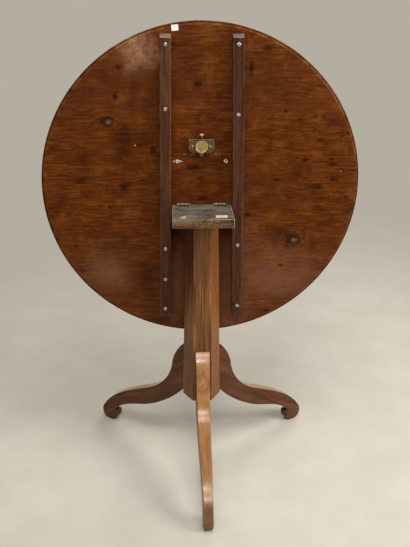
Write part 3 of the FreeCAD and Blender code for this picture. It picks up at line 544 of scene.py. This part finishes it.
# Painted shade: the lit upper edge is painted darker low down towards the toe, where it turns down.
def shaded_toe(tree, where, colour, rough):
    height = maths(tree, "ADD", part_of(tree, where, "Z"), ragged_edge(tree, where, 40.0, 0.02))
    low = between(tree, height, *TOE_HEIGHT)
    return mix(tree, times(tree, low, 0.75), colour, tone(86, 52, 36)), rough


leg_finish = {}
for leg, degrees in LEG_TURNS.items():
    turn = Matrix.Rotation(-SLOPE, 3, "Y") @ Matrix.Rotation(-math.radians(degrees), 3, "Z")
    grain = {"turn": tuple(turn.to_euler("XYZ")), "shift": (degrees / 40, 0, 0), "fine": 80.0, "sway": 0.02}
    # The third finish, for the upper edge, is faded and worn and painted lighter as a painted highlight.
    leg_finish[leg] = (
        wood(f"waxed_{leg}", LEG_TONES, gloss=0.34, shine=0.2, **grain),
        wood(f"rubbed_{leg}", LEG_TONES, gloss=0.34, shine=0.25, worn=0.5, **grain),
        wood(f"faded_{leg}", LIT_LEG_TOP_TONES, contrast=0.8, gloss=0.21, shine=0.5, coat=0.4, patchy=0.4,
             relief=0.0, pored=0.2, extra=painted(shaded_toe), **grain))
print("leg finishes:", len(leg_finish))

# %% [markdown]
# A sawn and planed edge is never sharp. Each large piece is a copy of its solid with its loose
# triangles merged and flat faces joined, and a bevel that rounds the edges a little. The bevel's own
# faces take the second finish, so the rubbed tone sits exactly on the edges. On the roughest pieces
# the edges are also cut into short lengths and nicked by a noise.

# %% Pieces with eased edges
SAME_CORNER = 2e-6
FLAT_ANGLE = math.radians(0.3)
EDGE_ANGLE = math.radians(28)
BEVEL_STEPS = 2
COARSE_NICKS, FINE_NICKS = 140, 420


def in_scene(name, data):
    made = bpy.data.objects.new(name, data)
    bpy.context.scene.collection.objects.link(made)
    return made


def plain_mesh(draft, name):
    seen = draft.evaluated_get(bpy.context.evaluated_depsgraph_get())
    mesh = bpy.data.meshes.new_from_object(seen)
    mesh.name = name
    bpy.data.objects.remove(draft)
    return in_scene(name, mesh)


def nick(mesh, axis, step, depth):
    shape = bmesh.new()
    shape.from_mesh(mesh)
    low = min(corner.co[axis] for corner in shape.verts)
    high = max(corner.co[axis] for corner in shape.verts)
    along = Vector([float(axis == index) for index in range(3)])
    for count in range(1, int((high - low) / step)):
        everything = list(shape.verts) + list(shape.edges) + list(shape.faces)
        place = along * (low + count * step)
        bmesh.ops.bisect_plane(shape, geom=everything, plane_co=place, plane_no=along)
    for corner in shape.verts:
        if any(face.material_index == 1 for face in corner.link_faces):
            rough = hills.noise(corner.co * COARSE_NICKS) + 0.6 * hills.noise(corner.co * FINE_NICKS)
            corner.co -= corner.normal * depth * max(0.0, rough)
    shape.to_mesh(mesh)
    shape.free()


def eased(name, node, body, finishes, width, special=None, nicks=None):
    source = NODES[node].data
    shape = bmesh.new()
    corners = [shape.verts.new(vertex.co) for vertex in source.vertices]
    for face in source.polygons:
        shape.faces.new([corners[index] for index in face.vertices])
    bmesh.ops.remove_doubles(shape, verts=shape.verts, dist=SAME_CORNER)
    bmesh.ops.dissolve_limit(shape, angle_limit=FLAT_ANGLE, verts=shape.verts, edges=shape.edges)
    mesh = bpy.data.meshes.new(name)
    shape.to_mesh(mesh)
    shape.free()
    draft = in_scene(name + "_draft", mesh)
    bevel = draft.modifiers.new("eased_edges", "BEVEL")
    bevel.width = width
    bevel.segments = BEVEL_STEPS
    bevel.limit_method = "ANGLE"
    bevel.angle_limit = EDGE_ANGLE
    bevel.use_clamp_overlap = False
    bevel.material = 1 if len(finishes) > 1 else -1
    for finish in finishes:
        mesh.materials.append(finish)
    mesh.shade_smooth()
    draft.modifiers.new("flat_stays_flat", "WEIGHTED_NORMAL").keep_sharp = True
    piece = plain_mesh(draft, name)
    if nicks:
        nick(piece.data, **nicks)
    if special:
        test, finish = special
        piece.data.materials.append(finish)
        for face in piece.data.polygons:
            if test(face):
                face.material_index = len(finishes)
    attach(piece, body)
    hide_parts(node)
    return piece


print("edge helpers ready")

# %% [markdown]
# Some faces of a piece have a finish of their own: the show face of a board, the slanted ends of a
# batten, the upper edge of a leg, the end of the tenon and the mortise behind the strike plate, which
# is painted almost black as painted shade. A small test picks them by where they lie or how they point.

# %% The wooden pieces
BLOCK_TOP = BLOCK_HIGH.z
SKIN = 0.0005
MORTISE_DEPTH = 0.03
MORTISE_HALF = 0.012


def show_face(face):
    return face.normal.y > 0.9


def slanted_end(face):
    return abs(face.normal.z) > 0.3


def tenon_end(face):
    return face.center.z > BLOCK_TOP - 0.0015


def in_mortise(face):
    inside = all(BLOCK_LOW[axis] + SKIN < face.center[axis] < BLOCK_HIGH[axis] - SKIN for axis in range(3))
    return inside and face.center.y < BLOCK_LOW.y + MORTISE_DEPTH and abs(face.center.x) < MORTISE_HALF


def upper_edge(degrees):
    out = Vector((math.cos(math.radians(degrees)), math.sin(math.radians(degrees)), 0))
    side = Vector((-out.y, out.x, 0))

    # The upper edge takes the painted highlight: partly faded and worn, partly painted light from above.
    def lit_and_faded(face):
        narrow = abs(face.normal.dot(side)) < 0.85
        return narrow and face.normal.dot(out) > 0.05 and face.normal.z > -0.45

    return lit_and_faded


pieces = {}
for board in BOARDS:
    pieces[board] = eased(board.replace("top_", "eased_"), board, "top", (board_finish[board],),
                          width=0.0003, special=(show_face, SHOW_WOOD))
for side in ("left", "right"):
    pieces[side] = eased(f"eased_batten_{side}", f"batten_{side}", "top",
                         (BATTEN_WOOD, BATTEN_EDGE), width=0.0011,
                         nicks={"axis": 2, "step": 0.006, "depth": 0.0007},
                         special=(slanted_end, BATTEN_END))
for leg in LEG_TURNS:
    pieces[leg] = eased(f"eased_{leg}", leg, "base", leg_finish[leg][:2], width=0.0013,
                        special=(upper_edge(LEG_TURNS[leg]), leg_finish[leg][2]))
pieces["column"] = eased("eased_column", "column", "base", (COLUMN_WOOD, COLUMN_EDGE),
                         width=0.0009, special=(tenon_end, BLOCK_WOOD))
pieces["block"] = eased("eased_block", "tilt_block", "base", (BLOCK_WOOD, BLOCK_EDGE),
                        width=0.0015, nicks={"axis": 0, "step": 0.004, "depth": 0.001},
                        special=(in_mortise, SHADED_HOLLOW))
print("eased pieces:", {piece.name: len(piece.data.polygons) for piece in pieces.values()})

# %% [markdown]
# The bevel has rubbed every edge of the block, also where nothing rubs: round the tenon and in the
# recess of the strike plate. Those faces go back to the plain finish.

# %% Edges of the block that nothing rubs
TENON_EDGE = 0.026
NEAR_PLATE = 0.002
BELOW_PLATE = 0.0019
ABOVE_PLATE = 0.0005
STRIKE_LOW, STRIKE_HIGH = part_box("strike_plate")


def round_tenon(place):
    return math.hypot(place.x, place.y) < TENON_EDGE and place.z > BLOCK_TOP - 0.002


def beside_strike(place):
    return (place.y < STRIKE_HIGH.y + NEAR_PLATE
            and STRIKE_LOW.x - NEAR_PLATE < place.x < STRIKE_HIGH.x + NEAR_PLATE
            and STRIKE_LOW.z - BELOW_PLATE < place.z < STRIKE_HIGH.z + ABOVE_PLATE)


plain_again = 0
for face in pieces["block"].data.polygons:
    on_edge = face.material_index == 1
    if round_tenon(face.center) or (on_edge and beside_strike(face.center)):
        face.material_index = 0
        plain_again += on_edge
print("edge faces made plain:", plain_again)

# %% [markdown]
# Slotted screws repeat all over the table, so Geometry Nodes make them: one tree builds a domed head,
# cuts its slot, and sets it on points with a turn of its own. The points are the middles of the
# screws in the frame, found as the separate shells of each screw node.

# %% A tree for slotted screws
SCREW_SIZES = {"Head diameter": "Float", "Head depth": "Float", "Dome": "Float", "Slot width": "Float",
               "Slot depth": "Float", "Facing": "Vector", "Seed": "Int", "Metal": "Material",
               "Dirt": "Material"}


def domed_head(tree, given):
    radius = maths(tree, "DIVIDE", given["Head diameter"], 2.0)
    sizes = {"Vertices": 28, "Side Segments": 1, "Fill Segments": 5, "Radius": radius,
             "Depth": given["Head depth"]}
    head = add(tree, "GeometryNodeMeshCylinder", sizes, fill_type="TRIANGLE_FAN").outputs["Mesh"]
    spot = add(tree, "GeometryNodeInputPosition").outputs[0]
    share = maths(tree, "DIVIDE", length(tree, vectors(tree, "MULTIPLY", spot, (1, 1, 0))), radius)
    rise = maths(tree, "SUBTRACT", 1.0, times(tree, share, share))
    lift = vector_of(tree, Z=times(tree, rise, given["Dome"]))
    upper = maths(tree, "GREATER_THAN", part_of(tree, spot, "Z"), 0.0)
    inputs = {"Geometry": head, "Selection": upper, "Offset": lift}
    return add(tree, "GeometryNodeSetPosition", inputs).outputs[0]


def moved(tree, shape, height):
    inputs = {"Geometry": shape, "Translation": vector_of(tree, Z=height)}
    return add(tree, "GeometryNodeTransform", inputs).outputs[0]


def slotted(tree, given, head):
    top = maths(tree, "ADD", maths(tree, "DIVIDE", given["Head depth"], 2.0), given["Dome"])
    bar = vector_of(tree, X=times(tree, given["Head diameter"], 1.4), Y=given["Slot width"],
                    Z=times(tree, given["Slot depth"], 2.0))
    slot = add(tree, "GeometryNodeMeshCube", {"Size": bar}).outputs["Mesh"]
    inputs = {"Geometry": slot, "Material": given["Dirt"]}
    slot = moved(tree, add(tree, "GeometryNodeSetMaterial", inputs).outputs[0], top)
    inputs = {"Mesh 1": head, "Mesh 2": slot}
    cut = add(tree, "GeometryNodeMeshBoolean", inputs, operation="DIFFERENCE").outputs["Mesh"]
    return moved(tree, cut, times(tree, given["Head depth"], -0.5))


def screw_tree():
    tree = bpy.data.node_groups.new("slotted_screws", "GeometryNodeTree")
    tree.interface.new_socket("Geometry", in_out="INPUT", socket_type="NodeSocketGeometry")
    for title, kind in SCREW_SIZES.items():
        tree.interface.new_socket(title, in_out="INPUT", socket_type="NodeSocket" + kind)
    tree.interface.new_socket("Geometry", in_out="OUTPUT", socket_type="NodeSocketGeometry")
    given = add(tree, "NodeGroupInput").outputs
    screw = slotted(tree, given, domed_head(tree, given))
    chance = add(tree, "FunctionNodeRandomValue", {"Min": 0.2, "Max": 2.9, "Seed": given["Seed"]})
    angle = next(output for output in chance.outputs if output.enabled)
    inputs = {"Rotation": given["Facing"], "Rotate By": vector_of(tree, Z=angle)}
    turn = add(tree, "FunctionNodeRotateRotation", inputs, rotation_space="LOCAL").outputs[0]
    inputs = {"Points": given["Geometry"], "Instance": screw, "Rotation": turn}
    placed = add(tree, "GeometryNodeInstanceOnPoints", inputs).outputs[0]
    whole = add(tree, "GeometryNodeRealizeInstances", {"Geometry": placed}).outputs[0]
    dirty = add(tree, "GeometryNodeMaterialSelection", {"Material": given["Dirt"]}).outputs[0]
    bare = add(tree, "FunctionNodeBooleanMath", {0: dirty}, operation="NOT").outputs[0]
    inputs = {"Geometry": whole, "Selection": bare, "Material": given["Metal"]}
    done = add(tree, "GeometryNodeSetMaterial", inputs).outputs[0]
    add(tree, "NodeGroupOutput", {"Geometry": done})
    return tree


SCREW_TREE = screw_tree()
print("screw tree inputs:", list(SCREW_SIZES))

# %% [markdown]
# Each screw node of the frame is one mesh of several loose shells. Merging its corners and walking
# from corner to corner splits it into single screws; the face of a head is where that shell ends on
# the side it is driven from.

# %% Find the single screws
def shells(node):
    shape = bmesh.new()
    shape.from_mesh(NODES[node].data)
    bmesh.ops.remove_doubles(shape, verts=shape.verts, dist=SAME_CORNER)
    left = set(shape.verts)
    groups = []
    while left:
        group = {left.pop()}
        to_visit = list(group)
        while to_visit:
            for link in to_visit.pop().link_edges:
                for corner in link.verts:
                    if corner in left:
                        left.discard(corner)
                        group.add(corner)
                        to_visit.append(corner)
        low = Vector([min(corner.co[axis] for corner in group) for axis in range(3)])
        high = Vector([max(corner.co[axis] for corner in group) for axis in range(3)])
        groups.append((low, high))
    shape.free()
    return sorted(groups, key=lambda ends: (round(ends[0].x, 4), round(ends[0].z, 4)))


print("left batten screws:", len(shells("batten_screws_left")))

# %% [markdown]
# A set of screws is a mesh of bare points with the tree as its modifier, turned into a plain mesh
# when it is done. The dome of a head and the seed of its turns are chosen for each set.

# %% Set the screws
TOWARDS_FRONT = (math.radians(90), 0, 0)
UPWARDS = (0, 0, 0)
HEAD_DEPTH = 0.002
SLOT_DEPTH = 0.0016
SLOT_SHARE = 0.15


def set_screws(node, body, facing, finish, dome, seed):
    name = "slotted_" + node
    ends = shells(node)
    points = []
    for low, high in ends:
        point = (low + high) / 2
        if facing == TOWARDS_FRONT:
            point.y = low.y
        else:
            point.z = high.z
        points.append(point)
    diameter = ends[0][1].x - ends[0][0].x
    mesh = bpy.data.meshes.new(name + "_points")
    mesh.from_pydata(points, [], [])
    draft = in_scene(name + "_draft", mesh)
    modifier = draft.modifiers.new("screws", "NODES")
    modifier.node_group = SCREW_TREE
    values = {"Head diameter": diameter, "Head depth": HEAD_DEPTH, "Dome": dome,
              "Slot width": diameter * SLOT_SHARE, "Slot depth": SLOT_DEPTH, "Facing": facing,
              "Seed": seed, "Metal": finish, "Dirt": SLOT_DIRT}
    for item in SCREW_TREE.interface.items_tree:
        if item.in_out == "INPUT" and item.name in values:
            modifier[item.identifier] = values[item.name]
    piece = plain_mesh(draft, name)
    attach(piece, body)
    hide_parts(node)
    print(name, "screws:", len(points), "faces:", len(piece.data.polygons))


set_screws("batten_screws_left", "top", TOWARDS_FRONT, STEEL, dome=0.0013, seed=3)
set_screws("batten_screws_right", "top", TOWARDS_FRONT, STEEL, dome=0.0013, seed=8)
set_screws("hinge_top_screws", "top", TOWARDS_FRONT, BROWN_IRON, dome=0.0001, seed=4)
set_screws("hinge_block_screws", "base", UPWARDS, RUBBED_IRON, dome=0.0001, seed=5)
set_screws("catch_screws", "top", TOWARDS_FRONT, EDGE_BRASS, dome=0.0004, seed=6)
set_screws("strike_screws", "base", TOWARDS_FRONT, DARK_BRASS, dome=0.0002, seed=7)

# %% [markdown]
# The catch and the hinges are small turned and filed pieces, so their solids need only eased, rubbed
# edges. The barrels of the hinges are brighter than the leaves, and the stem of the bolt is painted
# paler than the rest of it, as a painted reflection.

# %% Catch, strike plate and hinges
PIN_LOW, PIN_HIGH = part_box("hinge_left_pin")
PIN_AXIS = (PIN_LOW + PIN_HIGH) / 2
BARREL = 0.0031
STEM_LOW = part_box("catch_plate")[1].z


def on_stem(face):
    return face.center.z > STEM_LOW


def on_barrel(face):
    return math.hypot(face.center.y - PIN_AXIS.y, face.center.z - PIN_AXIS.z) < BARREL


eased("eased_catch_plate", "catch_plate", "top", (DARK_BRASS, EDGE_BRASS), width=0.0004)
eased("eased_catch_case", "catch_case", "top", (FACE_BRASS, EDGE_BRASS), width=0.0006)
eased("eased_strike_plate", "strike_plate", "base", (STRIKE_BRASS, EDGE_BRASS), width=0.0004)
eased("eased_catch_bolt", "catch_bolt", "catch", (DARK_BRASS,), width=0.0002,
      special=(on_stem, REFLECTION_PAINTED_BRASS))
for side in ("left", "right"):
    eased(f"eased_hinge_{side}_block_leaf", f"hinge_{side}_block_leaf", "base",
          (IRON, RUBBED_IRON), width=0.0002, special=(on_barrel, BARREL_IRON))
    eased(f"eased_hinge_{side}_top_leaf", f"hinge_{side}_top_leaf", "top",
          (BROWN_IRON,), width=0.0002, special=(on_barrel, BARREL_IRON))
print("catch, strike plate and hinges eased")

# %% [markdown]
# A few small solids need no new edges and only get a finish: the hinge pins, the knob, the wedge in
# the tenon and the buffer tacks. The tacks are worn to bright metal in a ring, which is measured from
# the middle of each head.

# %% Solids that only get a finish
def tack_finish():
    material, tree, shader, where = new_finish("worn_tacks")
    low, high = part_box("buffer_tacks")
    radius = (high.z - low.z) / 2
    from_middle = maths(tree, "ABSOLUTE", part_of(tree, where, "X"))
    aside = maths(tree, "SUBTRACT", from_middle, high.x - radius)
    above = maths(tree, "SUBTRACT", part_of(tree, where, "Z"), low.z + radius)
    reach = maths(tree, "DIVIDE", length(tree, vector_of(tree, X=aside, Y=above)), radius)
    share = maths(tree, "ADD", reach, ragged_edge(tree, where, 170.0, 1.6))
    dark, bright, brown = tone(40, 24, 16), tone(232, 218, 198), tone(92, 58, 38)
    colour = ramp(tree, share, (0.3, dark), (0.44, bright), (0.7, bright), (0.9, brown))
    rough = between(tree, noise(tree, where, 300.0), 0.3, 0.7, 0.35, 0.6)
    tree.links.new(colour, shader.inputs["Base Color"])
    tree.links.new(rough, shader.inputs["Roughness"])
    shader.inputs["Metallic"].default_value = 0.3
    raised(tree, shader, share, 0.0006, 0.5)
    return material


def only_finish(mesh, finish):
    mesh.materials.clear()
    mesh.materials.append(finish)


# The knob takes the pale brass with its painted reflection.
SMALL_SOLIDS = {"hinge_left_pin": BARREL_IRON, "hinge_right_pin": BARREL_IRON, "catch_knob": REFLECTION_PAINTED_BRASS,
                "buffer_tacks": tack_finish(), "tenon_wedge": BLOCK_WOOD}
for node, finish in SMALL_SOLIDS.items():
    only_finish(NODES[node].data, finish)
print("small solids finished:", len(SMALL_SOLIDS))

# %% [markdown]
# The spring in the case is wound from steel wire. In the real catch the bolt's collar pushes its lower
# end up against the case; here the spring gets its own mesh and a steel finish, and moves with the top.

# %% The spring
spring = in_scene("squeezed_spring", NODES["catch_spring"].data.copy())
only_finish(spring.data, STEEL)
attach(spring, "top")
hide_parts("catch_spring")
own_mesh(spring)

# %% [markdown]
# Scraps of old blank paper are stuck to the block, and a small blank tag to the underside near the
# rim. A scrap is a grid with a torn outline, lying a hair above the surface with a slight curl, so it
# catches light as paper does.

# %% Paper
STEPS_ACROSS, STEPS_ALONG = 16, 10
PAPER_GAP = 0.00006
PAPER_CURL = 0.0001
PAPER_THICKNESS = 0.00015
PAPER_BEND = math.radians(40)
WAVES_ACROSS, WAVES_ALONG = 7.3, 11.9
OLD_STAIN = tone(190, 168, 132)


def paper(name, tint, stained=OLD_STAIN, clean_share=0.4):
    material, tree, shader, where = new_finish(name)
    cloud = noise(tree, where, 160.0, 5.0, 0.65)
    fibre = noise(tree, where, 1400.0, 2.0)
    stain = mix(tree, between(tree, cloud, clean_share, clean_share + 0.2), tint, stained)
    tree.links.new(stain, shader.inputs["Base Color"])
    shader.inputs["Roughness"].default_value = 0.85
    raised(tree, shader, fibre, 0.0001, 0.5)
    return material


def scrap(name, body, finish, centre, across, along, torn, seed):
    away = across.cross(along).normalized()
    corners = []
    for i in range(STEPS_ACROSS + 1):
        for j in range(STEPS_ALONG + 1):
            u = 2 * i / STEPS_ACROSS - 1
            v = 2 * j / STEPS_ALONG - 1
            waves = math.sin(WAVES_ACROSS * u + seed) + math.sin(WAVES_ALONG * v + 2.1 * seed)
            edge = torn * waves / 2
            lift = PAPER_GAP + PAPER_CURL * (u * u + v * v) / 2
            aside = across * u * (1 + edge * abs(u)) + along * v * (1 + edge * abs(v))
            corners.append(centre + aside + away * lift)
    row = STEPS_ALONG + 1
    starts = [i * row + j for i in range(STEPS_ACROSS) for j in range(STEPS_ALONG)]
    faces = [(start, start + row, start + row + 1, start + 1) for start in starts]
    mesh = bpy.data.meshes.new(name)
    mesh.from_pydata(corners, [], faces)
    mesh.materials.append(finish)
    draft = in_scene(name + "_draft", mesh)
    draft.modifiers.new("thickness", "SOLIDIFY").thickness = PAPER_THICKNESS
    piece = plain_mesh(draft, name)
    piece.data.shade_smooth()
    piece.data.set_sharp_from_angle(angle=PAPER_BEND)
    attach(piece, body)


CREAM = paper("cream_paper", tone(226, 208, 176))
DIRTY = paper("dirty_paper", tone(206, 182, 160), tone(104, 88, 74))
WHITE = paper("white_paper", tone(238, 236, 230), clean_share=0.6)
scrap("cream_scrap", "base", CREAM, Vector((0.045, -0.061, BLOCK_TOP)), Vector((0.0138, 0, 0)),
      Vector((0, 0.0098, 0)), torn=0.05, seed=1.0)
scrap("torn_scrap", "base", DIRTY, Vector((-0.0485, -0.065, BLOCK_TOP)), Vector((0.0066, 0.001, 0)),
      Vector((-0.001, 0.008, 0)), torn=0.5, seed=2.4)
scrap("blank_tag", "top", WHITE, Vector((-0.0635, UNDERSIDE, 1.1385)), Vector((0.008, 0, 0.0006)),
      Vector((-0.0005, 0, 0.0066)), torn=0.06, seed=0.4)
print("scraps made")

# %% [markdown]
# The table stands on a plain pale floor. Away from the table the floor fades into a plain tone, and
# the room beyond has the same tone for every ray that the camera or a gloss sends, so no horizon
# shows. For other rays both are weaker, which leaves the lamps to model the table.

# %% Floor and background
FLOOR_TONE = tone(206, 201, 190)
FLOOR_CLOUD = tone(198, 193, 181)
FAR_TONE = tone(180, 174, 161)
LIT_PLACE = (0.3, 0.0, 0.0)
FADE = (0.7, 2.6)
FLOOR_SIZE = 90.0


def stronger_when_seen(tree, least):
    path = add(tree, "ShaderNodeLightPath").outputs
    direct = maths(tree, "MAXIMUM", path["Is Camera Ray"], path["Is Glossy Ray"])
    direct = maths(tree, "MAXIMUM", direct, path["Is Transmission Ray"])
    return maths(tree, "ADD", times(tree, direct, 1 - least), least)


def floor_finish():
    material, tree, shader, where = new_finish("pale_floor")
    cloud = noise(tree, where, 6.0, 5.0, 0.6)
    near = mix(tree, between(tree, cloud, 0.3, 0.7), FLOOR_TONE, FLOOR_CLOUD)
    tree.links.new(near, shader.inputs["Base Color"])
    shader.inputs["Roughness"].default_value = 0.9
    shader.inputs["Specular IOR Level"].default_value = 0.1
    inputs = {"Color": FAR_TONE, "Strength": stronger_when_seen(tree, 0.5)}
    glow = add(tree, "ShaderNodeEmission", inputs).outputs[0]
    far = between(tree, length(tree, vectors(tree, "SUBTRACT", where, LIT_PLACE)), *FADE)
    both = add(tree, "ShaderNodeMixShader", {0: far, 1: shader.outputs[0], 2: glow}).outputs[0]
    tree.links.new(both, tree.nodes["Material Output"].inputs["Surface"])
    return material


floor_mesh = bpy.data.meshes.new("floor")
corners = [(x * FLOOR_SIZE, y * FLOOR_SIZE, 0) for x, y in ((-1, -1), (1, -1), (1, 1), (-1, 1))]
floor_mesh.from_pydata(corners, [], [(0, 1, 2, 3)])
floor_mesh.materials.append(floor_finish())
floor = in_scene("floor", floor_mesh)

world = bpy.data.worlds.new("pale_room")
bpy.context.scene.world = world
world.use_nodes = True
room = world.node_tree
backdrop = room.nodes["Background"]
backdrop.inputs["Color"].default_value = FAR_TONE
room.links.new(stronger_when_seen(room, 0.45), backdrop.inputs["Strength"])
print("floor and room made")

# %% [markdown]
# Soft light comes from a broad lamp overhead, which isn't seen in the gloss. Two small lamps above
# and in front give the polish its sheen and the metal its glints. One at the right models the column,
# one behind brightens the floor at the right, and a weak one at the left front fills the shade.

# %% Lamps
LAMP_TONE = (1.0, 0.98, 0.95)


def lamp(name, place, aim, size, power):
    light = bpy.data.lights.new(name, "AREA")
    light.shape = "DISK"
    light.size = size
    light.energy = power
    light.color = LAMP_TONE
    holder = in_scene(name, light)
    holder.location = place
    holder.rotation_euler = (Vector(aim) - Vector(place)).to_track_quat("-Z", "Y").to_euler()
    holder.visible_camera = False
    return holder


lamp("overhead", (0.2, -0.8, 3.0), (0, -0.1, 0.3), size=1.8, power=46).visible_glossy = False
lamp("sheen", (0.0, -1.45, 3.0), (0, -0.2, 0.3), size=0.5, power=9)
lamp("glints", (0.0, -2.3, 2.9), (0, -0.2, 0.3), size=0.3, power=11)
lamp("right_side", (2.2, -1.0, 1.7), (0, 0, 0.6), size=1.2, power=38)
lamp("behind", (1.0, 2.2, 2.2), (0.2, 0.2, 0.5), size=1.6, power=28)
lamp("left_front", (-1.1, -2.1, 1.2), (0, 0, 0.8), size=1.0, power=6)
print("lamps made")

# %% [markdown]
# The camera stands where the photograph was taken from: a little left of the middle, above the top's
# upper edge and looking down. Its place, turns and lens are measured values, and its axes are built
# from the three turns so that nothing depends on the picture's size but the lens.

# %% Camera
CAMERA_PLACE = Vector((-0.0777, -1.8046, 1.2573))
YAW, PITCH, ROLL = 0.04753, 0.37895, 0.00542
FOCAL_PIXELS, LONG_SIDE_PIXELS, SENSOR = 754.9, 547, 36.0
ahead = Vector((math.sin(YAW) * math.cos(PITCH), math.cos(YAW) * math.cos(PITCH), -math.sin(PITCH)))
across = ahead.cross(Vector((0, 0, 1))).normalized()
upward = across.cross(ahead)
right = across * math.cos(ROLL) + upward * math.sin(ROLL)
above = upward * math.cos(ROLL) - across * math.sin(ROLL)
lens = bpy.data.cameras.new("camera")
lens.sensor_width = SENSOR
lens.lens = FOCAL_PIXELS * SENSOR / LONG_SIDE_PIXELS
camera = in_scene("camera", lens)
axes = Matrix((right, above, -ahead)).transposed().to_4x4()
camera.matrix_world = Matrix.Translation(CAMERA_PLACE) @ axes
bpy.context.scene.camera = camera
bpy.context.scene.view_settings.view_transform = "Standard"
print("camera lens:", round(lens.lens, 2), "mm")
